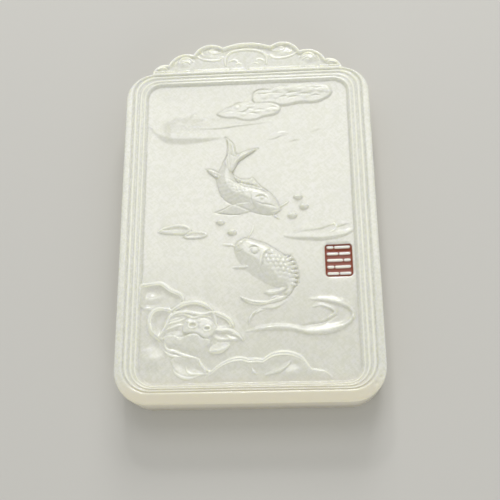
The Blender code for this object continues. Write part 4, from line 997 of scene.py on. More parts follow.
# Lines of the lotus: their points, half width and rise.
LOTUS_LINES = (
    (((-11.8, 11.15), (-10.9, 11.5), (-10.0, 11.7), (-9.2, 12.0)), 0.2, 0.2),
    (((-11.6, 11.6), (-10.6, 11.95), (-9.8, 12.1)), 0.16, 0.12),
    (((-11.9, 10.4), (-11.0, 10.8), (-10.0, 11.1), (-9.3, 11.05)), 0.2, 0.22),
    (((-11.6, 10.0), (-10.6, 10.3), (-9.8, 10.3)), 0.3, -0.14),
    (((-10.6, 12.4), (-9.6, 12.65), (-8.6, 12.4), (-7.9, 12.15), (-7.0, 12.35), (-6.0, 12.3), (-5.3, 12.0)),
     0.18, 0.18),
    (((-8.8, 12.05), (-7.8, 11.85), (-6.8, 12.0), (-6.0, 11.8)), 0.16, -0.12),
    (((-10.9, 9.9), (-10.2, 9.6), (-9.6, 9.7), (-9.2, 10.2)), 0.34, 0.14),
    (((-9.4, 9.35), (-8.8, 9.7), (-7.9, 9.85), (-7.2, 9.65), (-6.6, 9.2), (-6.0, 8.95)), 0.18, -0.22),
    (((-12.0, 8.8), (-11.85, 8.0), (-11.4, 7.5), (-10.4, 7.25), (-9.6, 6.9), (-8.6, 6.6), (-7.4, 6.3)),
     0.26, 0.26),
    (((-12.1, 7.5), (-11.5, 7.0), (-10.8, 6.7), (-10.2, 6.65), (-9.6, 6.5)), 0.2, 0.2),
    (((-11.0, 7.3), (-10.3, 6.95), (-9.6, 6.7)), 0.14, -0.1),
    (((-7.0, 6.15), (-6.8, 5.6), (-6.4, 5.0), (-5.9, 4.6), (-5.5, 4.4)), 0.22, 0.24),
    (((-10.8, 5.0), (-10.4, 4.3), (-9.8, 3.85), (-9.2, 3.6), (-8.5, 3.5), (-7.8, 3.6), (-7.1, 3.85)), 0.24,
     0.24),
    (((-8.9, 5.1), (-8.7, 4.5), (-8.2, 4.15), (-7.4, 4.05), (-6.4, 4.05), (-5.7, 4.1)), 0.2, 0.2),
    (((-2.6, 9.6), (-2.0, 9.65), (-1.4, 9.3)), 0.18, 0.14),
    (((-3.2, 9.5), (-2.7, 9.2), (-2.2, 9.0), (-1.8, 9.1)), 0.2, 0.16),
    (((-4.8, 11.4), (-4.4, 10.8), (-4.4, 10.2)), 0.16, 0.12),
)
# The seed holes in the pod, with a ring round each: the middle and the radii.
SEED_HOLES = (((-8.0, 11.05), (0.62, 0.46)), ((-5.95, 10.5), (0.52, 0.36)))
HOLE_DEPTH = 0.24
HOLE_SHADE = -0.6
# Swellings of the pod, and one hollow: the middle, the radii and the depth.
POD_SWELLINGS = (
    ((-7.9, 10.45), (0.5, 0.24), 0.12),
    ((-6.9, 10.9), (0.4, 0.5), -0.12),
    ((-8.7, 11.6), (0.5, 0.3), -0.12),
    ((-7.2, 11.5), (0.5, 0.3), -0.12),
    ((-5.3, 11.0), (0.4, 0.4), -0.1),
)


def carve_lotus(face):
    """The open lotus at the lower left, laid from the back to the front on a low mound."""
    lay(face, curve(FLOWER, True), 0.12, 1.6)
    petal(face, LEAF_BACK, 0.22, rim=9, hollow=0.24, spread_in=1.0, double=0.42)
    pit(face, (-13.7, 16.2), (1.7, 1.1), 0.16, 12)
    pit(face, (-14.0, 15.0), (1.6, 1.1), -0.09, 12)
    pit(face, (-13.7, 6.3), (2.4, 1.95), -0.35)
    petal(face, LEAF_FOOT, 0.14, rim=0, hollow=0.14, spread_in=1.2)
    petal(face, PETAL_LEFT, 0.34, rim=9, hollow=0.32, spread_in=1.3, double=0.42)
    ridge(face, curve(((-13.9, 11.2), (-13.6, 10.4), (-13.0, 9.7), (-12.4, 9.2))), (0.3, 0.8, 0.9, 0.4), 0.2)
    petal(face, PETAL_TOP, 0.36, rim=8, hollow=0.3, spread_in=0.7, double=0.42)
    petal(face, PETAL_RIGHT, 0.36, rim=5, hollow=0.26, spread_in=0.8, double=0.5)
    petal(face, PETAL_LOW, 0.34, rim=5, hollow=0.24, spread_in=0.7)
    petal(face, CUP, 0.36, rim=11, hollow=0.2, spread_in=0.6, skirt=1.2)
    petal(face, POD, 0.5, rim=0, hollow=-0.04, spread_in=0.6, tilt=0.07, skirt=0.2)
    petal(face, BOWL, 0.22, rim=0, hollow=-0.02, spread_in=1.4, tilt=-0.07, skirt=1.4)
    strokes(face, LOTUS_LINES, LINE_WIDEN, LINE_SHARE)
    for centre, radii in SEED_HOLES:
        pit(face, centre, (1.1 * radii[0], 1.1 * radii[1]), HOLE_DEPTH)
        ridge(face, oval(centre, radii, 16), 0.17, 0.1)
        face.edge[face.near(np.array([centre]), 0.22)] = HOLE_SHADE
    for centre, radii, depth in POD_SWELLINGS:
        pit(face, centre, radii, depth)
    petal(face, PETAL_FRONT, 0.58, rim=0, hollow=0.02, spread_in=0.5, tilt=0.3, skirt=0.15)
    ridge(face, curve(((-5.7, 7.15), (-4.9, 7.0), (-4.1, 7.05), (-3.3, 7.5), (-2.75, 8.1))), 0.17, 0.08)


# The seal: its middle, half sizes and corner radius, and its rows of plain bars.
SEAL_CENTRE = (13.15, 20.25)
SEAL_HALF = (2.0, 2.5)
SEAL_RADIUS = 0.5
SEAL_SINK = 0.26
SEAL_WALL = 0.12
SEAL_ROWS = 5
# A bar's half width, the slope at its sides, and how far its top lies under the ground.
SEAL_BAR = 0.2
BAR_SLOPE = 0.1
BAR_DROP = 0.03
# Where the bars of a row start and end, as shares of the panel's width.
SEAL_PATTERN = (((0.0, 0.42), (0.58, 1.0)), ((0.0, 0.2), (0.36, 1.0)), ((0.0, 0.64), (0.8, 1.0)))


def carve_seal(face):
    """The seal's sunk panel, painted but for its rows of plain raised bars."""
    reach = np.array(SEAL_HALF) - SEAL_RADIUS
    away = face.at - np.array(SEAL_CENTRE)
    over = np.abs(away) - reach
    depth = SEAL_RADIUS - np.hypot(*np.maximum(over, 0).T) - np.minimum(over.max(1), 0)
    sunk = ease(depth / SEAL_WALL)
    bars = np.zeros(len(depth))
    for row, middle in enumerate(np.linspace(-reach[1], reach[1], SEAL_ROWS)):
        for start, end in SEAL_PATTERN[row % len(SEAL_PATTERN)]:
            left, right = ((2 * share - 1) * reach[0] for share in (start, end))
            centre, half = np.array([(left + right) / 2, middle]), np.array([(right - left) / 2, 0.0])
            beyond = np.abs(away - centre) - half
            far = np.hypot(*np.maximum(beyond, 0).T)
            bars = np.maximum(bars, ease((SEAL_BAR + 0.05 - far) / BAR_SLOPE))
    floor = face.ground - SEAL_SINK + (SEAL_SINK - BAR_DROP) * bars
    face.height += sunk * (floor - face.height)
    face.paint = np.maximum(face.paint, ease(depth / (SEAL_WALL / 2)) * (1 - bars))
    # The bars get the raised lines' painted highlight.
    face.edge = np.maximum(face.edge, sunk * bars)


# The worn nicks at the right foot corner: the middle, the half width and the depth.
NICKS = (((18.2, 3.4), 0.4, 0.14), ((17.4, 2.5), 0.28, 0.1), ((18.55, 4.1), 0.24, 0.08))


def carve_nicks(face):
    """Small worn nicks at the right foot corner."""
    for centre, radius, depth in NICKS:
        pit(face, centre, (1.5 * radius, radius), depth, 20)


# The stone's grid: its steps over a half corner, along a straight side and up one, and in all.
CORNER = 20
ACROSS = 280
UP = 440
WIDE = 2 * CORNER + ACROSS
TALL = 2 * CORNER + UP
# A loop round it starts at the lower left, so its top side starts after the foot and the right side.
TOP_START = WIDE + TALL
# A plain stretch of the grid is joined into blocks of this many steps, where its heights are flat enough.
BLOCK = 4
LONG_BLOCK = 20
FLAT_ENOUGH = 0.0016
# The crest's rows, how far they run on past the straight top, and the steps of the last ones from its edge.
CREST_ROWS = 48
CREST_OVER = 3
CREST_EDGE = (0.0, 0.006, 0.016, 0.03, 0.046, 0.066)
CREST_EVEN = 0.91


def rounded_loop(box, size):
    """A box with rounded corners as one loop of points, anticlockwise from the lower left corner's middle.

    At a share p of a half corner the angle from its straight side is asin(p / sqrt 2).
    """
    (side, foot, top), foot_radius, top_radius = box
    half, low, high = size["width"] / 2 - side, foot, size["shoulder"] - top
    turn = np.arcsin(np.linspace(0, 1, CORNER + 1) / math.sqrt(2))
    corners = (
        (-half + foot_radius, low + foot_radius, foot_radius),
        (half - foot_radius, low + foot_radius, foot_radius),
        (half - top_radius, high - top_radius, top_radius),
        (-half + top_radius, high - top_radius, top_radius),
    )
    loop = []
    for number, steps in enumerate((ACROSS, UP, ACROSS, UP)):
        (*first, first_radius), (*last, last_radius) = corners[number], corners[(number + 1) % 4]
        out = math.radians(90 * number - 90)
        before, after = out - turn[::-1], out + turn
        start = np.array(first) + first_radius * np.stack([np.cos(before), np.sin(before)], axis=1)
        end = np.array(last) + last_radius * np.stack([np.cos(after), np.sin(after)], axis=1)
        share = np.linspace(0, 1, steps + 1)[1:-1, None]
        loop += [start, start[-1] + share * (end[0] - start[-1]), end[:-1]]
    return np.concatenate(loop)


def with_corners(low, high, radius, straight):
    """Grid lines from low to high: over a corner's radius, along a straight side and over a corner again."""
    near = np.linspace(0, radius, CORNER + 1)
    middle = np.linspace(low + radius, high - radius, straight + 1)[1:-1]
    return np.concatenate([near + low, middle, high - near[::-1]])


def rounded_grid(box, size):
    """The inside of such a box as a grid of rows and columns. In a corner's square, with shares p and q of
    its side from its inner corner, a point lies at p sqrt(1 - q^2 / 2), q sqrt(1 - p^2 / 2).
    """
    (side, foot, top), radius, _ = box
    half, low, high = size["width"] / 2 - side, foot, size["shoulder"] - top
    x, y = np.meshgrid(with_corners(-half, half, radius, ACROSS), with_corners(low, high, radius, UP))
    middle = (low + high) / 2
    p = np.maximum(np.abs(x) - (half - radius), 0) / radius
    q = np.maximum(np.abs(y - middle) - ((high - low) / 2 - radius), 0) / radius
    x = np.sign(x) * (np.minimum(np.abs(x), half - radius) + radius * p * np.sqrt(1 - q**2 / 2))
    y = middle + np.sign(y - middle) * (
        np.minimum(np.abs(y - middle), (high - low) / 2 - radius) + radius * q * np.sqrt(1 - p**2 / 2)
    )
    return np.stack([x, y], axis=2)


def blend_boxes(a, b, share):
    """The box that lies a share of the way from one box to another."""
    margins = tuple(m + share * (n - m) for m, n in zip(a[0], b[0]))
    return margins, a[1] + share * (b[1] - a[1]), a[2] + share * (b[2] - a[2])


class Stone:
    """The mesh in the making: points in mm, and faces that share every point on their edges."""

    def __init__(self):
        self.places = []
        self.count = 0
        self.cells = []

    def add(self, places):
        """Adds points, in an array of any shape whose last axis is x, y, z, and returns their numbers."""
        places = np.asarray(places, float)
        self.places.append(places.reshape(-1, 3))
        numbers = self.count + np.arange(places[..., 0].size).reshape(places.shape[:-1])
        self.count += numbers.size
        return numbers

    def cell(self, numbers, rows, columns, down, over):
        """Adds the cells of a grid of numbered points whose first corners are given, each so many rows down
        and columns over. A cell's edge keeps all its grid points for now."""
        over_step, down_step = np.arange(over), np.arange(down)
        row = np.concatenate([0 * over_step, down_step, 0 * over_step + down, down - down_step])
        column = np.concatenate([over_step, 0 * down_step + over, over - over_step, 0 * down_step])
        around = numbers[rows[:, None] + row, columns[:, None] + column]
        corner = np.zeros(len(row), bool)
        corner[[0, over, over + down, 2 * over + down]] = True
        self.cells.append((around, corner))

    def grid(self, numbers, down=1, over=1):
        """Adds a whole grid as cells of one size."""
        rows, columns = np.meshgrid(
            np.arange(0, numbers.shape[0] - 1, down), np.arange(0, numbers.shape[1] - 1, over), indexing="ij"
        )
        self.cell(numbers, rows.ravel(), columns.ravel(), down, over)

    def thinned(self, numbers, heights, flat):
        """Adds a grid as blocks of 4, 2 or 1 steps: a block stays whole where its heights are within flat of
        the bilinear surface through its corners."""
        rows, columns = (np.arange(0, n - 1, BLOCK) for n in numbers.shape)
        rows, columns = (a.ravel() for a in np.meshgrid(rows, columns, indexing="ij"))
        step = BLOCK
        while step > 1:
            steps = np.arange(step + 1)
            share = steps / step
            here = heights[rows[:, None, None] + steps[:, None], columns[:, None, None] + steps]
            left = here[:, :1, :1] * (1 - share[:, None]) + here[:, -1:, :1] * share[:, None]
            right = here[:, :1, -1:] * (1 - share[:, None]) + here[:, -1:, -1:] * share[:, None]
            off = np.abs(here - (left * (1 - share) + right * share)).max((1, 2))
            whole = off < flat
            self.cell(numbers, rows[whole], columns[whole], step, step)
            rows, columns = rows[~whole], columns[~whole]
            step //= 2
            rows = (rows[:, None] + np.array([0, 0, step, step])).ravel()
            columns = (columns[:, None] + np.array([0, step, 0, step])).ravel()
        self.cell(numbers, rows, columns, 1, 1)

    def mesh(self, name):
        """The Blender mesh, of the points that are some cell's corner."""
        places = np.concatenate(self.places)
        used = np.zeros(self.count, bool)
        for around, corner in self.cells:
            used[around[:, corner].ravel()] = True
        loops, counts = [], []
        for around, _ in self.cells:
            kept = used[around] & (around != np.roll(around, -1, axis=1))
            loops.append(around[kept])
            counts.append(kept.sum(1))
        renumber = np.cumsum(used) - 1
        loops, counts = renumber[np.concatenate(loops)], np.concatenate(counts)
        starts = np.concatenate([[0], np.cumsum(counts)[:-1]])
        made = bpy.data.meshes.new(name)
        made.vertices.add(int(used.sum()))
        made.vertices.foreach_set("co", (places[used] * MM).astype(np.float32).ravel())
        made.loops.add(len(loops))
        made.loops.foreach_set("vertex_index", loops.astype(np.int32))
        made.polygons.add(len(counts))
        made.polygons.foreach_set("loop_start", starts.astype(np.int32))
        made.polygons.foreach_set("loop_total", counts.astype(np.int32))
        made.update(calc_edges=True)
        return made, used


# The steps of the frame's grid, as shares of the way from one of its boxes to the next: over the flat band,
# over the mouldings and over the field's wall.
RING_STEPS = (
    np.concatenate([(0.0, 0.025, 0.07, 0.13, 0.2, 0.28), np.linspace(0.36, 0.98, 6)]),
    np.linspace(0.0, 1.0, 23)[1:],
    np.linspace(0.0, 1.0, 5)[1:],
)
# The rows of that grid as far as the field's edge. Its cells are long on the straight sides.
MOULDED = len(RING_STEPS[0]) + len(RING_STEPS[1]) - 1
# The back's sunk panel: its margin, the radius of its corners and the width of its sloping side.
BACK_MARGIN = 3.0
BACK_RADIUS = 2.4
BACK_SLOPE = 0.35
# How far in and up the middle of a rounded edge lies, as a share of its radius: about 1 - 1 / sqrt 2.
HALF_ROUND = 0.29


def ring_boxes(size):
    """The boxes that the frame's grid follows, from the outer edge to the start of the field's grid."""
    marks = boxes(size)
    return [blend_boxes(a, b, share) for a, b, steps in zip(marks, marks[1:], RING_STEPS) for share in steps]


def inset(loop, distance):
    """A closed anticlockwise loop moved inwards, each point along its own normal."""
    step = np.roll(loop, -1, axis=0) - np.roll(loop, 1, axis=0)
    step /= np.maximum(np.hypot(step[:, 0], step[:, 1]), TINY)[:, None]
    return loop + distance * np.stack([-step[:, 1], step[:, 0]], axis=1)


def lift(places, height):
    """Places on the face with a height as their third number."""
    return np.concatenate([places, np.broadcast_to(height, places.shape[:-1])[..., None]], axis=-1)


def stretches():
    """Where each half corner and straight side of a loop starts and ends, and how long its cells are."""
    start = 0
    for straight in (ACROSS, UP, ACROSS, UP):
        for steps, block in ((CORNER, 1), (straight, LONG_BLOCK), (CORNER, 1)):
            yield start, start + steps, block
            start += steps


def join_border(numbers, loop):
    """Gives the border of a grid the numbers of a loop, which starts at the grid's first corner."""
    numbers[0, :] = loop[:WIDE + 1]
    numbers[:, -1] = loop[WIDE:TOP_START + 1]
    numbers[-1, ::-1] = loop[TOP_START:TOP_START + WIDE + 1]
    numbers[::-1, 0] = np.append(loop[TOP_START + WIDE:], loop[0])


def carve_face(face, size, outline):
    """Carves the frame and the crest, then the picture on their ground, and rounds the front edge."""
    carve_frame(face, size)
    carve_crest(face, size, outline)
    carve_nicks(face)
    face.ground = face.height.copy()
    face.at -= SEEN_LOW
    for carve in (carve_sky, carve_water, carve_lotus, carve_carp_high, carve_carp_low, carve_seal):
        carve(face)
    face.at += SEEN_LOW
    keep_low(face)
    round_edge(face, size, outline)


def close_stone(stone, rim, flat_rim, size):
    """Adds the wall under the rim's points, the rounded back edge, and the back with its sunk panel."""
    rounding, sink = size["edge_round"], size["back_sink"]
    half_round = HALF_ROUND * rounding
    loops = [rim]
    for low, inwards in (
        (size["thickness"] / 2, 0.0), (rounding, 0.0), (half_round, half_round), (0.0, rounding)
    ):
        loops.append(stone.add(lift(inset(flat_rim, inwards), low)))
    for share in (0.0, 0.5, 1.0):
        panel = (BACK_MARGIN + share * BACK_SLOPE,) * 3, BACK_RADIUS, BACK_RADIUS
        loops.append(stone.add(lift(rounded_loop(panel, size), share * sink)))
    wall = np.stack(loops)[::-1]
    wall = np.concatenate([wall, wall[:, :1]], axis=1)
    for begin, end, block in stretches():
        in_crest = TOP_START <= begin < TOP_START + WIDE
        stone.grid(wall[:, begin:end + 1], 1, 1 if in_crest else block)
    back = stone.add(lift(rounded_grid(panel, size), sink))
    join_border(back, loops[-1])
    stone.grid(back.T, LONG_BLOCK, LONG_BLOCK)


def carve_stone(size):
    """The whole stone as a mesh: the face's three grids, the wall and the back, with each point's paint and
    edge."""
    ring = np.stack([rounded_loop(box, size) for box in ring_boxes(size)])
    field = rounded_grid(boxes(size)[3], size)
    first, last = TOP_START + CORNER - CREST_OVER, TOP_START + CORNER + ACROSS + CREST_OVER
    outline = crest_line(ring[0, first])
    foot, head = ring[0, first:last + 1], even_points(outline, last - first + 1)
    near_edge = 1 - np.array(CREST_EDGE[::-1])
    share = np.concatenate([np.linspace(0, CREST_EVEN, CREST_ROWS - len(near_edge))[1:], near_edge])
    crest = foot + share[:, None, None] * (head - foot)
    face = Face(np.concatenate([part.reshape(-1, 2) for part in (ring, field[1:-1, 1:-1], crest)]))
    carve_face(face, size, outline)

    stone = Stone()
    numbers = stone.add(lift(face.at, face.height + size["thickness"]))
    ring_numbers = numbers[:ring[..., 0].size].reshape(ring.shape[:2])
    crest_numbers = numbers[-crest[..., 0].size:].reshape(crest.shape[:2])
    crest_numbers[:, 0], crest_numbers[:, -1] = ring_numbers[0, first], ring_numbers[0, last]
    whole = np.empty((TALL + 1, WIDE + 1), int)
    whole[1:-1, 1:-1] = numbers[ring_numbers.size:-crest_numbers.size].reshape(TALL - 1, WIDE - 1)
    join_border(whole, ring_numbers[-1])
    stone.thinned(whole, face.height[whole], FLAT_ENOUGH)
    around = np.concatenate([ring_numbers, ring_numbers[:, :1]], axis=1)
    for begin, end, block in stretches():
        part = around[:, begin:end + 1]
        stone.grid(part[:MOULDED + 1], 1, block)
        stone.grid(part[MOULDED:])
    stone.grid(np.concatenate([crest_numbers[::-1], ring_numbers[:1, first:last + 1]]))

    rim = np.concatenate([ring_numbers[0, :first], crest_numbers[-1], ring_numbers[0, last + 1:]])
    close_stone(stone, rim, face.at[rim], size)
    marks = np.zeros((stone.count, 2))
    marks[:len(face.at)] = np.stack([face.paint, face.edge], axis=1)
    mesh, used = stone.mesh("carved_plaque")
    return mesh, marks[used]


# Making the objects. These sizes go into the carving as they are.
DETAIL_SIZES = ("shoulder_radius", "foot_radius", "edge_round", "channel_depth", "field_depth", "back_sink")


def design(sizes):
    """The carving's sizes in mm. The motifs are drawn for the design width and height, so a plaque of
    another size is carved in these and stretched at the end."""
    wanted = np.array([sizes.width, sizes.height, sizes.thickness]) / MM
    stretch = wanted / (DESIGN_WIDTH, DESIGN_HEIGHT, wanted[2])
    size = {
        "width": DESIGN_WIDTH,
        "shoulder": DESIGN_HEIGHT - sizes.crest / MM / stretch[1],
        "thickness": wanted[2],
    }
    for name in DETAIL_SIZES:
        size[name] = getattr(sizes, name) / MM
    return size, stretch


def tube(start, end, radius, sides=48):
    """A closed round bar between two points: start + t (end - start) + radius (u cos a + v sin a)."""
    along = np.array(end, float) - start
    along /= np.linalg.norm(along)
    u = np.cross(along, (1.0, 0.0, 0.0))
    u /= np.linalg.norm(u)
    v = np.cross(along, u)
    turn = np.linspace(0, 2 * np.pi, sides, endpoint=False)[:, None]
    ring = radius * (u * np.cos(turn) + v * np.sin(turn))
    places = np.concatenate([ring + start, ring + end])
    here = np.arange(sides)
    after = (here + 1) % sides
    walls = np.stack([here, after, after + sides, here + sides], axis=1)
    mesh = bpy.data.meshes.new("bar")
    mesh.from_pydata(places.tolist(), [], walls.tolist() + [here[::-1].tolist(), (here + sides).tolist()])
    return mesh


def put(name, mesh, *materials):
    """Puts a mesh into the scene as an object at the origin, with its materials."""
    made = bpy.data.objects.new(name, mesh)
    bpy.context.scene.collection.objects.link(made)
    for material in materials:
        mesh.materials.append(material)
    return made


def keep_evaluated(piece):
    """Replaces a piece's mesh by what its modifiers make of it."""
    graph = bpy.context.evaluated_depsgraph_get()
    made = bpy.data.meshes.new_from_object(piece.evaluated_get(graph))
    piece.modifiers.clear()
    piece.data = made


# Materials. How many soft clouds the stone has in a metre.
CLOUDS_PER_METRE = 120.0
# The grit's strokes across a metre, their length over their width, their two directions in degrees, and how
# deep they ripple the surface. Real ones are far finer: these are about 0.3 mm wide, so that they show.
STROKES_PER_METRE = 3200.0
STROKE_STRETCH = 2.5
STROKE_TURNS = (38, -47)
STROKE_DEPTH = 0.00001
# The two strokes' sum where the painted mottling of the sheen starts, and where it is full.
GRIT_SHEEN_MOTTLE = (0.8, 1.2)
# From this much of the edge value on, a raised line's painted highlight is as pale as it gets.
FULL_LINE_HIGHLIGHT = 0.65
# Where the stone's colour starts to deepen toward the foot and down the wall, and where it is deepest. The
# deepening is partly a deeper stone colour and partly painted shade.
DEEP_FOOT = (-0.0235, -0.0285)
DEEP_WALL = (0.0064, 0.003)
# How far red, green and blue light wander in the stone, as shares of the glow.
WANDER = (1.0, 1.0, 0.75)
NEPHRITE_IOR = 1.61
PAINT_ROUGHNESS = 0.3


def add(tree, kind, links=(), **settings):
    """Adds a node: settings are its own properties or, by name or number, its inputs, and links are pairs of
    one of its inputs and the output that feeds it."""
    made = tree.nodes.new(kind)
    for key, value in settings.items():
        if hasattr(made, key):
            setattr(made, key, value)
        else:
            made.inputs[key.replace("_", " ")].default_value = value
    for key, source in links:
        tree.links.new(source, made.inputs[key])
    return made


def new_material(name):
    """An empty material and its node tree."""
    made = bpy.data.materials.new(name)
    made.use_nodes = True
    made.node_tree.nodes.clear()
    return made, made.node_tree


def share_between(tree, source, start, end):
    """A node that turns a value into a smooth share: zero at the start and one at the end."""
    made = add(tree, "ShaderNodeMapRange", [("Value", source)], interpolation_type="SMOOTHSTEP")
    made.inputs["From Min"].default_value, made.inputs["From Max"].default_value = start, end
    return made.outputs["Result"]


def tint(tree, share, first, second):
    """A node that mixes two colours by a share. The first is a colour or the output that gives it."""
    made = add(tree, "ShaderNodeMix", [("Factor", share)], data_type="RGBA")
    if isinstance(first, bpy.types.NodeSocket):
        tree.links.new(first, made.inputs[6])
    else:
        made.inputs[6].default_value = (*first, 1)
    made.inputs[7].default_value = (*second, 1)
    return made.outputs[2]


def grit_strokes(tree, place, turn):
    """The strokes of the last grit: noise drawn out along one direction."""
    drawn = add(tree, "ShaderNodeMapping", [("Vector", place)], vector_type="TEXTURE")
    drawn.inputs["Rotation"].default_value = (0, 0, math.radians(turn))
    drawn.inputs["Scale"].default_value = (STROKE_STRETCH, 1.0, 1.0)
    return add(
        tree, "ShaderNodeTexNoise", [("Vector", drawn.outputs["Vector"])],
        Scale=STROKES_PER_METRE, Detail=2.0, Roughness=0.6,
    ).outputs["Fac"]


def polished_nephrite(looks):
    """White nephrite jade, cut, worked with grit and polished: light wanders a little way into it, so its
    shadows are soft and its edges glow. Its cloudy body colour varies by a shade. Toward the foot and down
    the walls it is deeper, partly as a deeper stone colour and partly as painted shade. Raised lines get a
    painted highlight, a paler colour that stands in for the glints on their tops and for the light that
    fills thin stone, and cuts and the crest's ground get painted shade, a shade deeper. The polish leaves a
    wet gloss that crossed strokes of the last grit just ripple, and where they lie close the stone is a
    shade greyer, a painted mottling that stands in for the sheen those ripples break up. The paint in the
    seal is less glossy and lets no light in."""
    made, tree = new_material("polished_nephrite")
    place = add(tree, "ShaderNodeTexCoord").outputs["Object"]
    axes = add(tree, "ShaderNodeSeparateXYZ", [("Vector", place)]).outputs
    clouds = add(
        tree, "ShaderNodeTexNoise", [("Vector", place)], Scale=CLOUDS_PER_METRE, Detail=3.0, Roughness=0.55
    )
    body = tint(tree, clouds.outputs["Fac"], looks.stone, looks.deep)
    crossed = [(number, grit_strokes(tree, place, turn)) for number, turn in enumerate(STROKE_TURNS)]
    grit = add(tree, "ShaderNodeMath", crossed, operation="ADD").outputs["Value"]
    # Painted mottling where the grit's strokes lie close, standing in for the sheen their ripples break up.
    body = tint(tree, share_between(tree, grit, *GRIT_SHEEN_MOTTLE), body, looks.grit_sheen_mottle)
    # The walls and foot deepen: partly a deeper stone colour, partly painted shade.
    foot = share_between(tree, axes["Y"], *DEEP_FOOT)
    wall = share_between(tree, axes["Z"], *DEEP_WALL)
    more = add(tree, "ShaderNodeMath", [(0, foot), (1, wall)], operation="MAXIMUM").outputs["Value"]
    body = tint(tree, more, body, looks.deep_stone_and_shade)
    edge = add(tree, "ShaderNodeAttribute", attribute_name="edge").outputs["Fac"]
    # Painted highlight on the raised lines, by their edge value.
    body = tint(tree, share_between(tree, edge, 0.0, FULL_LINE_HIGHLIGHT), body, looks.thin)
    # Painted shade in the cuts and on the crest's ground.
    body = tint(tree, share_between(tree, edge, 0.0, -1.0), body, looks.hollow)
    painted = add(tree, "ShaderNodeAttribute", attribute_name="paint").outputs["Fac"]
    bare = add(tree, "ShaderNodeMath", [(1, painted)], operation="SUBTRACT")
    bare.inputs[0].default_value = 1.0
    gloss = add(tree, "ShaderNodeMapRange", [("Value", painted)])
    gloss.inputs["To Min"].default_value = looks.gloss
    gloss.inputs["To Max"].default_value = PAINT_ROUGHNESS
    rippled = add(tree, "ShaderNodeBump", [("Height", grit)], Strength=1.0)
    rippled.inputs["Distance"].default_value = STROKE_DEPTH
    shine = add(tree, "ShaderNodeBsdfPrincipled", [
        ("Base Color", tint(tree, painted, body, looks.paint)),
        ("Roughness", gloss.outputs["Result"]),
        ("Subsurface Weight", bare.outputs["Value"]),
        ("Normal", rippled.outputs["Normal"]),
    ])
    shine.inputs["IOR"].default_value = NEPHRITE_IOR
    shine.inputs["Subsurface Radius"].default_value = WANDER
    shine.inputs["Subsurface Scale"].default_value = looks.glow
    add(tree, "ShaderNodeOutputMaterial", [("Surface", shine.outputs["BSDF"])])
    return made


class PENDANT_OT_plaque(bpy.types.Operator):
    """Carve the jade plaque"""

    bl_idname = "pendant.plaque"
    bl_label = "Carve plaque"

    def execute(self, context):
        sizes, looks = context.scene.pendant_sizes, context.scene.pendant_looks
        size, stretch = design(sizes)
        mesh, marks = carve_stone(size)
        places = np.empty(3 * len(mesh.vertices), np.float32)
        mesh.vertices.foreach_get("co", places)
        places = places.reshape(-1, 3) * stretch
        places += (0.0, CAD_LOW.y, CAD_LOW.z)
        mesh.vertices.foreach_set("co", places.astype(np.float32).ravel())
        for name, values in zip(("paint", "edge"), marks.T.astype(np.float32)):
            made = mesh.attributes.new(name, "FLOAT", "POINT")
            made.data.foreach_set("value", np.ascontiguousarray(values))
        plaque = put("carved_plaque", mesh, polished_nephrite(looks))
        top = CAD_LOW.y + sizes.height
        bar = put("cord_hole_bar", tube(
            np.array([0.0, top + HOLE_RUN_ON, sizes.thickness / 2 + HOLE_RUN_ON * HOLE_SLOPE]),
            np.array([0.0, top - HOLE_DROP - HOLE_RUN_ON, -HOLE_RUN_ON * HOLE_SLOPE]),
            sizes.cord_hole / 2,
        ))
        cut = plaque.modifiers.new("Cord hole", "BOOLEAN")
        cut.operation, cut.object, cut.solver = "DIFFERENCE", bar, "MANIFOLD"
        keep_evaluated(plaque)
        bpy.data.objects.remove(bar)
        plaque.data.polygons.foreach_set("use_smooth", np.ones(len(plaque.data.polygons), bool))
        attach(plaque, BODY)
        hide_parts(NODE)
        return {"FINISHED"}


# The stage: a plain floor, rectangular lights with their power in watts, their sides and their place, and
# the camera with its place, lens and sensor in mm and its turn in degrees.
FLOOR_COLOUR = "D0CEC9"
FLOOR_HALF = 1.0
LIGHTS = (
    ("key", 0.55, 0.16, 0.16, (0.04, 0.34, 0.22)),
    ("ceiling", 0.34, 0.22, 0.19, (-0.02, 0.207, 0.42)),
    ("glint", 0.15, 0.03, 0.03, (-0.05, 0.37, 0.30)),
    ("fill", 0.33, 0.3, 0.3, (0.1, -0.4, 0.14)),
)
SKY_COLOUR = "F2F3F0"
SKY_STRENGTH = 0.575
CAMERA_PLACE = (6.62, -41.89, 111.2)
CAMERA_TURN = (18.593, 3.619, -0.499)
CAMERA_LENS = 54.72
CAMERA_SENSOR = 36.0


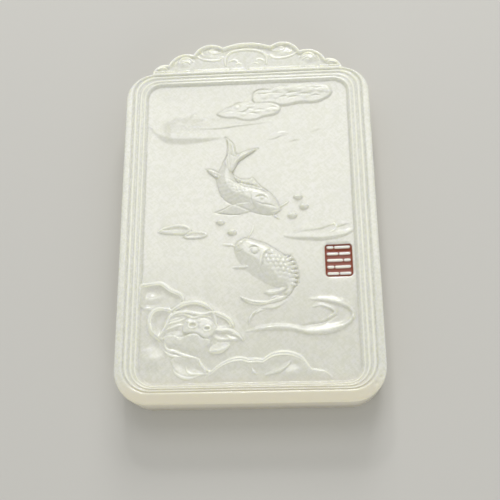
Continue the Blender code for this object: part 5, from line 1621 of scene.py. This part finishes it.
class PENDANT_OT_stage(bpy.types.Operator):
    """Add the floor, the lights and the camera"""

    bl_idname = "pendant.stage"
    bl_label = "Add stage"

    def execute(self, context):
        floor_material, tree = new_material("matt_paper")
        paper = add(tree, "ShaderNodeBsdfPrincipled", Roughness=0.9)
        paper.inputs["Base Color"].default_value = (*linear(FLOOR_COLOUR), 1)
        add(tree, "ShaderNodeOutputMaterial", [("Surface", paper.outputs["BSDF"])])
        mesh = bpy.data.meshes.new("floor")
        corners = [(x * FLOOR_HALF, y * FLOOR_HALF, 0) for x, y in ((-1, -1), (1, -1), (1, 1), (-1, 1))]
        mesh.from_pydata(corners, [], [(0, 1, 2, 3)])
        put("floor", mesh, floor_material)
        for name, power, width, depth, place in LIGHTS:
            data = bpy.data.lights.new(name, "AREA")
            data.shape = "RECTANGLE"
            data.energy, data.size, data.size_y = power, width, depth
            lamp = bpy.data.objects.new(name, data)
            lamp.location = place
            lamp.rotation_euler = Vector(place).to_track_quat("Z", "Y").to_euler()
            context.scene.collection.objects.link(lamp)
        world = bpy.data.worlds.new("studio")
        context.scene.world = world
        world.use_nodes = True
        sky = world.node_tree.nodes["Background"]
        sky.inputs["Color"].default_value = (*linear(SKY_COLOUR), 1)
        sky.inputs["Strength"].default_value = SKY_STRENGTH
        context.scene.view_settings.view_transform = "Standard"
        data = bpy.data.cameras.new("camera")
        data.lens, data.sensor_width = CAMERA_LENS, CAMERA_SENSOR
        data.clip_start = 0.01
        camera = bpy.data.objects.new("camera", data)
        camera.location = np.array(CAMERA_PLACE) * MM
        camera.rotation_euler = [math.radians(turn) for turn in CAMERA_TURN]
        context.scene.collection.objects.link(camera)
        context.scene.camera = camera
        return {"FINISHED"}


class PENDANT_PT_panel(bpy.types.Panel):
    """The sizes, the looks and the buttons"""

    bl_label = "Jade pendant"
    bl_idname = "PENDANT_PT_panel"
    bl_space_type = "VIEW_3D"
    bl_region_type = "UI"
    bl_category = "Pendant"

    def draw(self, context):
        for group in (context.scene.pendant_sizes, context.scene.pendant_looks):
            for name in group.bl_rna.properties.keys():
                if name not in ("rna_type", "name"):
                    self.layout.prop(group, name)
        for operator in OPERATORS:
            self.layout.operator(operator.bl_idname)


OPERATORS = (PENDANT_OT_plaque, PENDANT_OT_stage)
CLASSES = (PendantSizes, PendantLooks, *OPERATORS, PENDANT_PT_panel)


def register():
    for kind in CLASSES:
        bpy.utils.register_class(kind)
    bpy.types.Scene.pendant_sizes = PointerProperty(type=PendantSizes)
    bpy.types.Scene.pendant_looks = PointerProperty(type=PendantLooks)


def unregister():
    del bpy.types.Scene.pendant_looks
    del bpy.types.Scene.pendant_sizes
    for kind in reversed(CLASSES):
        bpy.utils.unregister_class(kind)


def main():
    """Registers the add-on, makes every piece in order and adds the stage."""
    register()
    bpy.ops.pendant.plaque()
    bpy.ops.pendant.stage()


if __name__ == "__main__":
    main()
